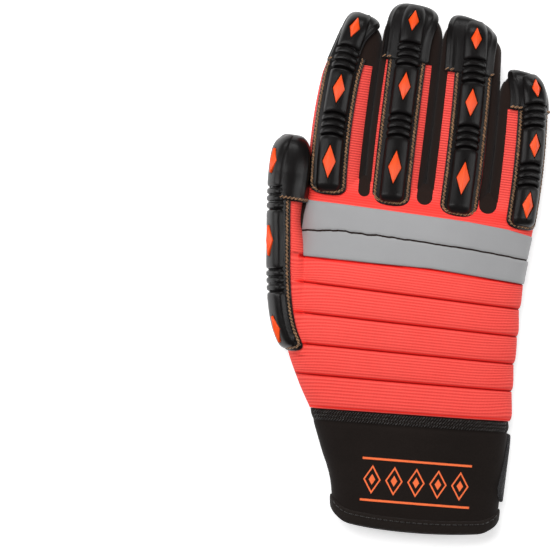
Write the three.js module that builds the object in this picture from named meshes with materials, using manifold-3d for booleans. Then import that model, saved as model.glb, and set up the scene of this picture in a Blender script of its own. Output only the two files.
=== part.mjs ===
import * as THREE from 'three';
import { mergeVertices } from 'three/addons/utils/BufferGeometryUtils.js';
import Module from 'manifold-3d';

// A right-hand impact glove, lying palm down. All lengths are in millimetres.
// +Y points to the fingertips, +X to the little finger and +Z up from the surface it lies on.
// While it is built, x = 0 is the middle of the hand and y = 0 is the line of the finger roots.

// Driving sizes of the hand, the fingers and the thumb
const HAND_WIDTH = 114;
const HAND_LENGTH = 103.5;
const HAND_RISE = 19;
const FINGER_LENGTH = 98;
const FINGER_RISE = 9.4;
const FINGER_GAP = 0.8;
const FINGER_SINK = 9;
const TIP_ROUND = 16;
const THUMB_LENGTH = 106;
const THUMB_WIDTH = 20;
const THUMB_RISE = 12.8;

// Heights and walls
const SEAM_HEIGHT = 11;
const GLOVE_WALL = 1.6;
const CUFF_WALL = 2.8;
const CLEARANCE = 0.3;
const PATCH_THICKNESS = 1;

// Pleats, band and side walls of the fingers
const PLEAT_DEPTH = 1.3;
const BAND_WIDTH = 27.8;
const BAND_TOP = 3.6;
const BAND_DROP = 2.4;
const BAND_THICKNESS = 0.9;
const FOURCHETTE_WIDTH = 5.8;
const FOURCHETTE_FOOT = 1.6;

// Cuff, binding and strap
const CUFF_LENGTH = 57;
const CUFF_RISE = 12.6;
const MOUTH_WIDTH = 82;
const MOUTH_RADIUS = 10;
const SEAM_SLOPE = 0.07;
const BINDING_WIDTH = 6.6;
const BINDING_THICKNESS = 0.9;
const STRAP_WIDTH = 34;
const STRAP_THICKNESS = 1.6;
const STRAP_REACH = 76;

// Guards and their inlays
const FLANGE_WIDTH = 19.4;
const FLANGE_THICKNESS = 1.3;
const CAP_THICKNESS = 2.3;
const RIDGE_WIDTH = 12.6;
const RIDGE_HEIGHT = 4.8;
const RIB_PITCH = 3.5;
const GROOVE_WIDTH = 1.9;
const GROOVE_DEPTH = 1.7;
const GROOVES = 4;
const INLAY_LENGTH = 15.5;
const INLAY_WIDTH = 6.4;
const INLAY_DEPTH = 1.5;
const INLAY_CREST = 0.6;

// Fineness of the faceted surfaces
const HAND_SIDES = 20;
const FINGER_SIDES = 14;
const RIDGE_SIDES = 5;
const BACK_POWER = 2.35;
const PALM_POWER = 5;
const PALM_FLATNESS = 1.2;

const HAND_BOTTOM = PATCH_THICKNESS + CLEARANCE;
const CUFF_BOTTOM = STRAP_THICKNESS + CLEARANCE;
const FAR = 2 * (HAND_WIDTH + HAND_LENGTH + FINGER_LENGTH + CUFF_LENGTH);

const wasm = await Module();
wasm.setup();

// Sections of the hand. at: share of HAND_LENGTH from the cuff seam, left and right: shares of HAND_WIDTH,
// rise: share of HAND_RISE above the side seam.
const HAND_SECTIONS = [
  { at: 0.0, left: -0.351, right: 0.525, rise: 0.72 },
  { at: 0.12, left: -0.414, right: 0.514, rise: 0.8 },
  { at: 0.285, left: -0.488, right: 0.504, rise: 0.9 },
  { at: 0.43, left: -0.511, right: 0.502, rise: 0.97 },
  { at: 0.57, left: -0.511, right: 0.494, rise: 1.0 },
  { at: 0.71, left: -0.502, right: 0.496, rise: 0.98 },
  { at: 0.84, left: -0.494, right: 0.502, rise: 0.92 },
  { at: 0.96, left: -0.498, right: 0.51, rise: 0.8 },
  { at: 1.04, left: -0.497, right: 0.51, rise: 0.64 },
  { at: 1.09, left: -0.48, right: 0.493, rise: 0.48 },
  { at: 1.12, left: -0.43, right: 0.447, rise: 0.32 },
];

// Pleat folds across the back, as shares of HAND_LENGTH from the cuff seam
const FOLDS = [0.0, 0.152, 0.291, 0.432, 0.572, 0.702];
const PLEAT_PROFILE = [
  { at: 0.0, puff: 0.0 },
  { at: 0.12, puff: 0.85 },
  { at: 0.5, puff: 1.0 },
  { at: 0.88, puff: 0.85 },
];

// Lines between the fingers, from the index side to the little-finger side, as shares of HAND_WIDTH
const FINGER_LINES = [
  { root: -0.494, middle: -0.511, tip: -0.443 },
  { root: -0.247, middle: -0.26, tip: -0.253 },
  { root: 0.017, middle: 0.0105, tip: -0.0035 },
  { root: 0.295, middle: 0.288, tip: 0.25 },
  { root: 0.507, middle: 0.4965, tip: 0.43 },
];

// length: share of FINGER_LENGTH; root: share of FINGER_RISE where the finger leaves the hand;
// angle: where the guard sits on the section, 90 on top; from and to: sides of the guard's flange and
// foot: its lower end, as shares of FLANGE_WIDTH
const FINGERS = [
  { name: 'index', length: 0.925, root: 1.14, angle: 92, from: -0.5, to: 0.5, foot: 0.0 },
  { name: 'middle', length: 1.0, root: 1.4, angle: 90, from: -0.5, to: 0.5, foot: -0.06 },
  { name: 'ring', length: 0.977, root: 1.36, angle: 88, from: -0.5, to: 0.5, foot: -0.1 },
  { name: 'little', length: 0.745, root: 1.08, angle: 48, from: -0.46, to: 0.8, foot: -0.2 },
];

// Places along each guard, as shares of its length: the two groups of ribs and the three inlays.
// sizes: the inlays' lengths as shares of INLAY_LENGTH
const GUARD_PLACES = {
  index: { ribs: [0.393, 0.762], inlays: [0.181, 0.584, 0.919], sizes: [1.08, 0.93, 0.7] },
  middle: { ribs: [0.404, 0.769], inlays: [0.182, 0.599, 0.928], sizes: [1.08, 0.9, 0.7] },
  ring: { ribs: [0.4, 0.749], inlays: [0.179, 0.577, 0.908], sizes: [1.08, 0.9, 0.72] },
  little: { ribs: [0.33, 0.737], inlays: [0.116, 0.527, 0.908], sizes: [0.86, 0.76, 0.6] },
  thumb: { ribs: [0.31, 0.703], inlays: [0.09, 0.5, 0.88], sizes: [0.9, 1.0, 0.82] },
};

// Sections of the thumb. at: share of THUMB_LENGTH, x: share of HAND_WIDTH, width: share of THUMB_WIDTH
const THUMB_SECTIONS = [
  { at: 0.0, x: -0.405, width: 0.75, rise: 0.88 },
  { at: 0.12, x: -0.457, width: 0.93, rise: 0.98 },
  { at: 0.24, x: -0.489, width: 0.98, rise: 1.04 },
  { at: 0.38, x: -0.516, width: 0.95, rise: 1.06 },
  { at: 0.52, x: -0.542, width: 0.83, rise: 1.04 },
  { at: 0.62, x: -0.564, width: 0.71, rise: 1.0 },
  { at: 0.72, x: -0.572, width: 0.76, rise: 0.98 },
  { at: 0.84, x: -0.575, width: 0.82, rise: 0.92 },
  { at: 0.92, x: -0.579, width: 0.76, rise: 0.8 },
  { at: 0.97, x: -0.584, width: 0.56, rise: 0.6 },
  { at: 1.0, x: -0.588, width: 0.28, rise: 0.34 },
];
const THUMB_START = -0.78;
const THUMB_ANGLE = 141;
const CAP_START = 0.72;

// Closed solids from rings of points

/** A closed geometry through rings with equally many points, from the lowest y to the highest. */
function loft(rings) {
  const count = rings[0].length;
  const positions = [];
  const indices = [];
  for (const ring of rings) {
    for (const point of ring) positions.push(point.x, point.y, point.z);
  }
  for (let i = 0; i + 1 < rings.length; i += 1) {
    for (let j = 0; j < count; j += 1) {
      const a = i * count + j;
      const b = i * count + ((j + 1) % count);
      indices.push(a, b + count, b, a, a + count, b + count);
    }
  }
  addCap(rings[0], 0, false);
  addCap(rings[rings.length - 1], (rings.length - 1) * count, true);

  function addCap(ring, first, last) {
    const centre = new THREE.Vector3();
    for (const point of ring) centre.add(point);
    centre.divideScalar(count);
    const middle = positions.length / 3;
    positions.push(centre.x, centre.y, centre.z);
    for (let j = 0; j < count; j += 1) {
      const a = first + j;
      const b = first + ((j + 1) % count);
      if (last) indices.push(middle, b, a);
      else indices.push(middle, a, b);
    }
  }

  const geometry = new THREE.BufferGeometry();
  geometry.setAttribute('position', new THREE.Float32BufferAttribute(positions, 3));
  geometry.setIndex(indices);
  return geometry;
}

/** A manifold solid from a closed geometry. */
function solid(geometry) {
  const bare = geometry.clone();
  bare.deleteAttribute('normal');
  bare.deleteAttribute('uv');
  const merged = mergeVertices(bare, 1e-4);
  const mesh = new wasm.Mesh({
    numProp: 3,
    vertProperties: new Float32Array(merged.attributes.position.array),
    triVerts: new Uint32Array(merged.index.array),
  });
  return new wasm.Manifold(mesh);
}

/** The union of several solids. */
function join(solids) {
  return solids.reduce((sum, next) => sum.add(next));
}

/** The largest of the bodies that a cut leaves. */
function mainBody(body) {
  const parts = body.decompose();
  return parts.reduce((best, next) => (next.volume() > best.volume() ? next : best));
}

/** A named mesh of a solid, in flat facets. */
function piece(name, body, material) {
  const mesh = mainBody(body).getMesh();
  const geometry = new THREE.BufferGeometry();
  const positions = new Float32Array(mesh.numVert * 3);
  for (let i = 0; i < mesh.numVert; i += 1) {
    for (let k = 0; k < 3; k += 1) positions[3 * i + k] = mesh.vertProperties[i * mesh.numProp + k];
  }
  geometry.setAttribute('position', new THREE.BufferAttribute(positions, 3));
  geometry.setIndex(new THREE.BufferAttribute(new Uint32Array(mesh.triVerts), 1));
  geometry.computeVertexNormals();
  const result = new THREE.Mesh(geometry, material);
  result.name = name;
  return result;
}

/** An upright prism over a flat outline of Vector2 points, from one height to another. */
function prism(points, bottom, top) {
  const geometry = new THREE.ExtrudeGeometry(new THREE.Shape(points), {
    depth: top - bottom,
    bevelEnabled: false,
    curveSegments: 8,
  });
  geometry.translate(0, 0, bottom);
  return solid(geometry);
}

/** A rectangle of the plan as an upright prism. */
function block(left, right, low, high, bottom, top) {
  const corners = [
    new THREE.Vector2(left, low),
    new THREE.Vector2(right, low),
    new THREE.Vector2(right, high),
    new THREE.Vector2(left, high),
  ];
  return prism(corners, bottom, top);
}

/** A smooth value between the rows of a table, by its column and its place. */
function between(rows, column, at) {
  let i = 0;
  while (i + 2 < rows.length && at > rows[i + 1].at) i += 1;
  const span = rows[i + 1].at - rows[i].at;
  const t = (at - rows[i].at) / span;
  const value = (k) => rows[Math.min(Math.max(k, 0), rows.length - 1)];
  const slope = (k) => {
    const before = value(k - 1);
    const after = value(k + 1);
    return ((after[column] - before[column]) / (after.at - before.at)) * span;
  };
  if (t <= 0) return rows[i][column];
  if (t >= 1) return rows[i + 1][column];
  const t2 = t * t;
  const t3 = t2 * t;
  return (
    (2 * t3 - 3 * t2 + 1) * rows[i][column] +
    (t3 - 2 * t2 + t) * slope(i) +
    (-2 * t3 + 3 * t2) * rows[i + 1][column] +
    (t3 - t2) * slope(i + 1)
  );
}

/** A value through three columns of a row: root, middle and tip. */
function threePoint(row, t) {
  const a = 2 * row.root - 4 * row.middle + 2 * row.tip;
  const b = -3 * row.root + 4 * row.middle - row.tip;
  return a * t * t + b * t + row.root;
}

const power = (value, exponent) => Math.sign(value) * Math.abs(value) ** exponent;

/**
 * One point of a section: a rounded back above the side seam and a flat palm below it.
 * section: { y, left, right, rise, bottom, slope, puff }
 */
function sectionPoint(section, angle) {
  const { y, left, right, rise, bottom, slope = 0, puff = 0 } = section;
  const up = angle <= Math.PI + 1e-9;
  const exponent = 2 / (up ? BACK_POWER : PALM_POWER);
  const swell = up ? puff : 0;
  const half = (right - left) / 2 + swell;
  const x = (left + right) / 2 + half * power(Math.cos(angle), exponent);
  const lift = power(Math.sin(angle), exponent);
  const depth = SEAM_HEIGHT - bottom;
  const z = up ? (rise + swell) * lift : Math.max(-depth, PALM_FLATNESS * depth * lift);
  return new THREE.Vector3(x, y + slope * x, SEAM_HEIGHT + z);
}

function ring(section, sides) {
  const points = [];
  for (let j = 0; j < sides; j += 1) points.push(sectionPoint(section, (2 * Math.PI * j) / sides));
  return points;
}

/** A section grown outwards by an offset. */
function grown(section, offset) {
  return {
    ...section,
    left: section.left - offset,
    right: section.right + offset,
    rise: section.rise + offset,
    bottom: section.bottom - offset,
  };
}

// The hand, with its pleats on the back
function handSection(at) {
  const fromSeam = Math.min(Math.max(at, 0), 1);
  const folded = Math.max(0, 1 - at / FOLDS[FOLDS.length - 1]);
  return {
    y: HAND_LENGTH * (at - 1),
    left: HAND_WIDTH * between(HAND_SECTIONS, 'left', Math.max(at, 0)),
    right: HAND_WIDTH * between(HAND_SECTIONS, 'right', Math.max(at, 0)),
    rise: HAND_RISE * between(HAND_SECTIONS, 'rise', Math.max(at, 0)),
    bottom: HAND_BOTTOM,
    slope: SEAM_SLOPE * (fromSeam < 1 ? folded : 0),
  };
}

/** Pleated sections from the cuff seam to the band, then plain ones to the web between the fingers. */
function handSolid(offset, pleated) {
  const sections = [];
  if (pleated) {
    for (let i = 0; i + 1 < FOLDS.length; i += 1) {
      for (const step of PLEAT_PROFILE) {
        const at = FOLDS[i] + step.at * (FOLDS[i + 1] - FOLDS[i]);
        sections.push({ ...handSection(at), puff: PLEAT_DEPTH * step.puff });
      }
    }
    sections.push(handSection(FOLDS[FOLDS.length - 1]));
  } else {
    const first = offset < 0 ? (3 * offset) / HAND_LENGTH : 0;
    for (const at of [first, 0.14, 0.29, 0.43, 0.7]) sections.push(handSection(at));
  }
  for (const row of HAND_SECTIONS) {
    if (row.at > FOLDS[FOLDS.length - 1] + 0.02) sections.push(handSection(row.at));
  }
  const last = sections[sections.length - 1];
  const web = sections[sections.length - 2];
  last.y += Math.max(offset, -0.4 * (last.y - web.y));
  if (offset < 0) {
    for (const section of sections.slice(-4)) section.y += offset;
  }
  return solid(loft(sections.map((section) => ring(grown(section, offset), HAND_SIDES))));
}

// The four fingers
const fingerTip = (finger) => finger.length * FINGER_LENGTH;

function fingerLine(k, y) {
  const t = Math.min(Math.max(y / FINGER_LENGTH, 0), 1);
  return HAND_WIDTH * threePoint(FINGER_LINES[k], t);
}

/** Section k of the fingers at a height y, narrowed round the fingertip. */
function fingerSection(k, y) {
  const tip = fingerTip(FINGERS[k]);
  const left = fingerLine(k, y) + FINGER_GAP / 2;
  const right = fingerLine(k + 1, y) - FINGER_GAP / 2;
  const into = Math.min(Math.max((y - tip + TIP_ROUND) / TIP_ROUND, 0), 1);
  const share = Math.max((1 - into ** 2.5) ** (1 / 2.5), 0.12);
  const middle = (left + right) / 2;
  const half = ((right - left) / 2) * share;
  const along = Math.min(Math.max(y / tip, 0), 1);
  const belly = 0.94 + (FINGERS[k].root - 0.94) * (1 - along) ** 2.5;
  return {
    y,
    left: middle - half,
    right: middle + half,
    rise: FINGER_RISE * belly * (0.25 + 0.75 * share),
    bottom: HAND_BOTTOM + (SEAM_HEIGHT - HAND_BOTTOM) * 0.7 * (1 - Math.min(1, share * 1.25)),
  };
}

const TIP_STEPS = [0, 0.42, 0.7, 0.88, 0.97, 1];
const INNER_TIP_STEPS = [0, 0.6, 0.9, 1];

function fingerSolid(k, offset) {
  const tip = fingerTip(FINGERS[k]);
  const sections = [];
  for (const y of [-FINGER_SINK, 0, 0.2 * tip, 0.5 * tip]) sections.push(fingerSection(k, y));
  for (const step of offset < 0 ? INNER_TIP_STEPS : TIP_STEPS) {
    const section = fingerSection(k, tip - TIP_ROUND * (1 - step));
    section.y += offset * step;
    sections.push(section);
  }
  return solid(loft(sections.map((section) => ring(grown(section, offset), FINGER_SIDES))));
}

// The thumb, beside the hand
const thumbY = (at) => THUMB_START * HAND_LENGTH + at * THUMB_LENGTH;

function thumbSection(at) {
  const middle = HAND_WIDTH * between(THUMB_SECTIONS, 'x', at);
  const half = (THUMB_WIDTH / 2) * between(THUMB_SECTIONS, 'width', at);
  return {
    y: thumbY(at),
    left: middle - half,
    right: middle + half,
    rise: THUMB_RISE * between(THUMB_SECTIONS, 'rise', at),
    bottom: HAND_BOTTOM + (SEAM_HEIGHT - HAND_BOTTOM) * 0.7 * Math.max(0, (at - 0.95) / 0.05),
  };
}

function thumbSolid(offset) {
  const sections = THUMB_SECTIONS.map((row) => {
    const section = thumbSection(row.at);
    section.y += offset * Math.max(0, 2 * row.at - 1);
    return section;
  });
  return solid(loft(sections.map((section) => ring(grown(section, offset), FINGER_SIDES))));
}

/** The whole hand, as one solid grown by an offset. */
function wholeHand(offset, pleated) {
  const fingers = FINGERS.map((_, k) => fingerSolid(k, offset));
  return join([handSolid(offset, pleated), thumbSolid(offset), ...fingers]);
}

const innerHand = wholeHand(-GLOVE_WALL, false);
const backShell = wholeHand(0, true).subtract(innerHand);
const plainShell = wholeHand(0, false).subtract(innerHand);
const handClear = wholeHand(CLEARANCE, true);

// The side walls between the fingers, cut from the shell by upright strips
function fourchetteStrip(k, grow) {
  const half = FOURCHETTE_WIDTH / 2 + grow;
  const foot = FOURCHETTE_FOOT - grow;
  const ends = [fingerTip(FINGERS[k]), fingerTip(FINGERS[k + 1])];
  const near = Math.min(...ends) - TIP_ROUND;
  const points = [];
  const middleAt = (y) => fingerLine(k + 1, y);
  for (let i = 0; i <= 6; i += 1) {
    const turn = Math.PI * (1 + i / 6);
    const y = foot + half + half * Math.sin(turn);
    points.push(new THREE.Vector2(middleAt(y) + half * Math.cos(turn), y));
  }
  const rightEnd = ends[1] - 0.45 * TIP_ROUND + grow;
  const leftEnd = ends[0] - 0.45 * TIP_ROUND + grow;
  for (let i = 1; i <= 4; i += 1) {
    const y = foot + half + (near - foot - half) * (i / 4);
    points.push(new THREE.Vector2(middleAt(y) + half, y));
  }
  const inset = (side, y) => {
    const section = fingerSection(side, y);
    return side === k ? section.right - half : section.left + half;
  };
  points.push(new THREE.Vector2(inset(k + 1, rightEnd), rightEnd));
  points.push(new THREE.Vector2(middleAt(rightEnd), rightEnd));
  points.push(new THREE.Vector2(middleAt(leftEnd), leftEnd));
  points.push(new THREE.Vector2(inset(k, leftEnd), leftEnd));
  for (let i = 4; i >= 1; i -= 1) {
    const y = foot + half + (near - foot - half) * (i / 4);
    points.push(new THREE.Vector2(middleAt(y) - half, y));
  }
  return prism(points, -FAR, FAR);
}

const fourchettes = [0, 1, 2].map((k) => plainShell.intersect(fourchetteStrip(k, 0)));
const fourchetteSpace = join([0, 1, 2].map((k) => fourchetteStrip(k, CLEARANCE)));

const aboveSeam = block(-FAR, FAR, -FAR, FAR, SEAM_HEIGHT + CLEARANCE / 2, FAR);
const belowSeam = block(-FAR, FAR, -FAR, FAR, -FAR, SEAM_HEIGHT - CLEARANCE / 2);
const backPanel = backShell.intersect(aboveSeam).subtract(fourchetteSpace);
const palmPanel = plainShell.intersect(belowSeam).subtract(fourchetteSpace);

// The band across the knuckles
const bandLeft = handSection(0.84).left + BAND_THICKNESS;
const bandArea = prism(
  [
    new THREE.Vector2(bandLeft, -BAND_TOP - BAND_WIDTH),
    new THREE.Vector2(0.6 * HAND_WIDTH, -BAND_TOP - BAND_WIDTH + 0.4 * BAND_DROP),
    new THREE.Vector2(0.6 * HAND_WIDTH, -BAND_TOP - 1.3 * BAND_DROP),
    new THREE.Vector2(0.28 * HAND_WIDTH, -BAND_TOP),
    new THREE.Vector2(bandLeft, -BAND_TOP),
  ],
  SEAM_HEIGHT + CLEARANCE,
  FAR,
);
const knuckleBand = handSolid(CLEARANCE + BAND_THICKNESS, true).intersect(bandArea).subtract(handClear);

// Guards
const flangeLayer = wholeHand(CLEARANCE + FLANGE_THICKNESS, false);
const capLayer = wholeHand(CLEARANCE + CAP_THICKNESS, false);

/** Place of the guard's foot on a finger or the thumb: the skin point, its outward normal and the way across. */
function skinFrame(section, angle) {
  const point = sectionPoint(section, angle);
  const step = 0.02;
  const before = sectionPoint(section, angle - step);
  const after = sectionPoint(section, angle + step);
  const across = before.sub(after).setY(0).normalize();
  const out = new THREE.Vector3(-across.z, 0, across.x);
  return { point, across, out };
}

/** Half-round ring of the ridge at one place, scaled by a share. */
function ridgeRing(frame, share) {
  const { point, across, out } = frame;
  const half = (RIDGE_WIDTH / 2) * (0.55 + 0.45 * share);
  const height = Math.max(RIDGE_HEIGHT * share, 0.1);
  const points = [];
  const place = (v, w) => {
    const spot = point.clone().addScaledVector(across, v).addScaledVector(out, w);
    points.push(spot);
  };
  place(half, -RIDGE_HEIGHT);
  for (let i = 0; i <= RIDGE_SIDES; i += 1) {
    const turn = (Math.PI * i) / RIDGE_SIDES;
    place(half * power(Math.cos(turn), 0.8), height * power(Math.sin(turn), 0.8));
  }
  place(-half, -RIDGE_HEIGHT);
  return points;
}

/** Places and sizes along the ridge: rounded ends, and grooves between half-round ribs. */
function ridgeStations(start, end, ribs) {
  const stations = [];
  const round = RIDGE_HEIGHT;
  for (const t of [0, 0.3, 0.65, 1]) {
    stations.push({ y: start + round * t, share: 0.3 + 0.7 * Math.sqrt(1 - (1 - t) ** 2) });
  }
  const deep = 1 - GROOVE_DEPTH / RIDGE_HEIGHT;
  for (const rib of ribs) {
    for (let g = 0; g < GROOVES; g += 1) {
      const y = rib + (g - (GROOVES - 1) / 2) * RIB_PITCH;
      stations.push({ y: y - GROOVE_WIDTH / 2, share: 1 });
      stations.push({ y, share: deep });
      stations.push({ y: y + GROOVE_WIDTH / 2, share: 1 });
    }
  }
  for (const t of [0, 0.45, 0.8, 1]) {
    stations.push({ y: end - round * (1 - t), share: 0.35 + 0.65 * Math.sqrt(1 - t * t) });
  }
  return stations;
}

/** A lozenge in the plane of a guard's top: a body with a crest along its length, or its pocket. */
function lozenge(frame, along, length, width, low, crest) {
  const { point, across, out } = frame;
  const place = (u, v, w) =>
    point.clone().addScaledVector(along, u).addScaledVector(across, v).addScaledVector(out, w);
  const corners = [
    [length / 2, 0],
    [0, -width / 2],
    [-length / 2, 0],
    [0, width / 2],
  ];
  const tops = [0.25, -0.75, 0.25, -0.75].map((share) => (crest === null ? RIDGE_HEIGHT : share * crest));
  const positions = [];
  for (const [u, v] of corners) positions.push(...place(u, v, low).toArray());
  corners.forEach(([u, v], i) => positions.push(...place(u, v, tops[i]).toArray()));
  positions.push(...place(0, 0, crest === null ? RIDGE_HEIGHT : crest).toArray());
  const indices = [0, 1, 2, 0, 2, 3];
  for (let i = 0; i < 4; i += 1) {
    const j = (i + 1) % 4;
    indices.push(i, 4 + i, 4 + j, i, 4 + j, j, 8, 4 + j, 4 + i);
  }
  const geometry = new THREE.BufferGeometry();
  geometry.setAttribute('position', new THREE.Float32BufferAttribute(positions, 3));
  geometry.setIndex(indices);
  const body = solid(geometry);
  if (body.volume() > 0) return body;
  geometry.setIndex(indices.reverse());
  return solid(geometry);
}

/**
 * One guard and its inlays.
 * sectionAt(y): the section under the guard; start and end: its ends;
 * area and capArea: plan outlines of the flange and of the cap.
 */
function makeGuard({ sectionAt, angle, start, end, ribs, inlays, sizes, area, capArea }) {
  const frameAt = (y) => skinFrame(sectionAt(y), angle);
  const stations = ridgeStations(start, end, ribs);
  const ridge = solid(loft(stations.map(({ y, share }) => ridgeRing(frameAt(y), share))));
  const flange = flangeLayer.intersect(area);
  const cap = capLayer.intersect(capArea);
  let body = join([ridge, flange, cap]).subtract(handClear);
  const lozenges = inlays.map((y, i) => {
    const length = INLAY_LENGTH * sizes[i];
    const width = INLAY_WIDTH * (0.5 + 0.5 * sizes[i]);
    const crestAt = (place) => frameAt(place).point.addScaledVector(frameAt(place).out, RIDGE_HEIGHT);
    const frame = frameAt(y);
    const ahead = crestAt(y + length / 3);
    const behind = crestAt(y - length / 3);
    const along = ahead.clone().sub(behind).normalize();
    const out = frame.out.clone().addScaledVector(along, -frame.out.dot(along)).normalize();
    const top = {
      point: ahead.add(behind).multiplyScalar(0.5),
      across: new THREE.Vector3().crossVectors(along, out).normalize(),
      out,
    };
    const pocketLength = length + 4 * CLEARANCE;
    const pocketWidth = width + 2 * CLEARANCE;
    const pocket = lozenge(top, along, pocketLength, pocketWidth, -INLAY_DEPTH - CLEARANCE, null);
    body = body.subtract(pocket);
    return lozenge(top, along, length, width, -INLAY_DEPTH, INLAY_CREST);
  });
  return { body, lozenges };
}

/** Plan outline of a flange: a strip beside a middle line, with a round foot. */
function stripOutline(middleAt, low, high, from, to) {
  const points = [];
  const radius = (to - from) / 2;
  const centre = (from + to) / 2;
  for (let i = 0; i <= 6; i += 1) {
    const turn = Math.PI * (1 + i / 6);
    const y = low + 0.6 * radius * (1 + Math.sin(turn));
    points.push(new THREE.Vector2(middleAt(y) + centre + radius * Math.cos(turn), y));
  }
  for (let i = 1; i <= 4; i += 1) {
    const y = low + 0.6 * radius + (high - low - 0.6 * radius) * (i / 4);
    points.push(new THREE.Vector2(middleAt(y) + to, y));
  }
  for (let i = 4; i >= 1; i -= 1) {
    const y = low + 0.6 * radius + (high - low - 0.6 * radius) * (i / 4);
    points.push(new THREE.Vector2(middleAt(y) + from, y));
  }
  return points;
}

function fingerGuard(k) {
  const finger = FINGERS[k];
  const places = GUARD_PLACES[finger.name];
  const tip = fingerTip(finger);
  const angle = THREE.MathUtils.degToRad(finger.angle);
  const sectionAt = (y) => fingerSection(k, Math.min(y, tip - 0.08 * TIP_ROUND));
  const middleAt = (y) => skinFrame(fingerSection(k, Math.min(y, tip - TIP_ROUND)), angle).point.x;
  const foot = finger.foot * FLANGE_WIDTH;
  const reach = tip + 2 * CAP_THICKNESS;
  const floor = SEAM_HEIGHT + 2 * CLEARANCE;
  const outline = (low) => stripOutline(middleAt, low, reach, finger.from * FLANGE_WIDTH, finger.to * FLANGE_WIDTH);
  return makeGuard({
    sectionAt: (y) => ({ ...sectionAt(y), y }),
    angle,
    start: foot + 0.08 * FLANGE_WIDTH,
    end: tip + CAP_THICKNESS,
    ribs: places.ribs.map((share) => share * tip),
    inlays: places.inlays.map((share) => share * tip),
    sizes: places.sizes,
    area: prism(outline(foot), floor, FAR),
    capArea: prism(outline(CAP_START * tip), floor, FAR),
  });
}

function thumbGuard() {
  const angle = THREE.MathUtils.degToRad(THUMB_ANGLE);
  const atOf = (y) => Math.min(Math.max((y - thumbY(0)) / THUMB_LENGTH, 0), 0.985);
  const middleAt = (y) => skinFrame(thumbSection(Math.min(atOf(y), 0.84)), angle).point.x;
  const from = -FLANGE_WIDTH;
  const to = 0.46 * FLANGE_WIDTH;
  const reach = thumbY(1) + 2 * CAP_THICKNESS;
  const floor = SEAM_HEIGHT + 2 * CLEARANCE;
  const outline = (low) => stripOutline(middleAt, low, reach, from, to);
  const start = thumbY(0.03);
  const share = (value) => start + value * (thumbY(1) - start);
  return makeGuard({
    sectionAt: (y) => ({ ...thumbSection(atOf(y)), y }),
    angle,
    start,
    end: thumbY(1) + CAP_THICKNESS,
    ribs: GUARD_PLACES.thumb.ribs.map(share),
    inlays: GUARD_PLACES.thumb.inlays.map(share),
    sizes: GUARD_PLACES.thumb.sizes,
    area: prism(outline(start - 0.1 * FLANGE_WIDTH), floor, FAR),
    capArea: prism(outline(thumbY(0.78)), floor, FAR),
  });
}

// Cuff, binding and strap
const SEAM_Y = -HAND_LENGTH;
const MOUTH_Y = SEAM_Y - CUFF_LENGTH;
const CUFF_PROFILE = [
  { at: 0.0, left: 0.0, right: 0.0 },
  { at: 0.32, left: 0.42, right: 0.3 },
  { at: 0.56, left: 0.76, right: 0.6 },
  { at: 0.78, left: 0.93, right: 0.9 },
  { at: 1.0, left: 1.0, right: 1.0 },
];
const MOUTH_MIDDLE = 0.171;

function cuffSection(at) {
  const top = handSection(0);
  const mouthLeft = MOUTH_MIDDLE * HAND_WIDTH - MOUTH_WIDTH / 2;
  const mouthRight = MOUTH_MIDDLE * HAND_WIDTH + MOUTH_WIDTH / 2;
  const share = Math.min(Math.max(at, 0), 1);
  const mix = (a, b, t) => a + (b - a) * t;
  return {
    y: SEAM_Y - CLEARANCE - at * CUFF_LENGTH,
    left: mix(top.left, mouthLeft, between(CUFF_PROFILE, 'left', share)),
    right: mix(top.right, mouthRight, between(CUFF_PROFILE, 'right', share)),
    rise: mix(top.rise, CUFF_RISE, share),
    bottom: CUFF_BOTTOM,
    slope: SEAM_SLOPE,
  };
}

function cuffSolid(offset, past) {
  const sections = [1 + past, 0.78, 0.56, 0.32, past > 0 ? -past : 0].map(cuffSection);
  return solid(loft(sections.map((section) => ring(grown(section, offset), HAND_SIDES))));
}

/** Plan outline that rounds the corners of the mouth, moved up by a length. */
function mouthOutline(up) {
  const mouth = cuffSection(1);
  const margin = CLEARANCE + 1.2 * BINDING_THICKNESS;
  const left = mouth.left - margin;
  const right = mouth.right + margin;
  const lineY = (x) => MOUTH_Y + SEAM_SLOPE * 0.6 * x + up;
  const points = [];
  for (let i = 0; i <= 6; i += 1) {
    const turn = Math.PI * (1 + i / 12);
    const x = left + MOUTH_RADIUS * (1 + Math.cos(turn));
    points.push(new THREE.Vector2(x, lineY(x) + MOUTH_RADIUS * (1 + Math.sin(turn))));
  }
  for (let i = 0; i <= 6; i += 1) {
    const turn = Math.PI * (1.5 + i / 12);
    const x = right - MOUTH_RADIUS * (1 - Math.cos(turn));
    points.push(new THREE.Vector2(x, lineY(x) + MOUTH_RADIUS * (1 + Math.sin(turn))));
  }
  points.push(new THREE.Vector2(FAR, lineY(right) + 2 * MOUTH_RADIUS));
  points.push(new THREE.Vector2(FAR, FAR));
  points.push(new THREE.Vector2(-FAR, FAR));
  points.push(new THREE.Vector2(-FAR, lineY(left) + 2 * MOUTH_RADIUS));
  return prism(points, -FAR, FAR);
}

const cuff = cuffSolid(0, 0).intersect(mouthOutline(0)).subtract(cuffSolid(-CUFF_WALL, 0.1));
const cuffBinding = cuffSolid(CLEARANCE + BINDING_THICKNESS, 0)
  .intersect(mouthOutline(0))
  .subtract(mouthOutline(BINDING_WIDTH))
  .subtract(cuffSolid(CLEARANCE, 0.1));

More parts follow.
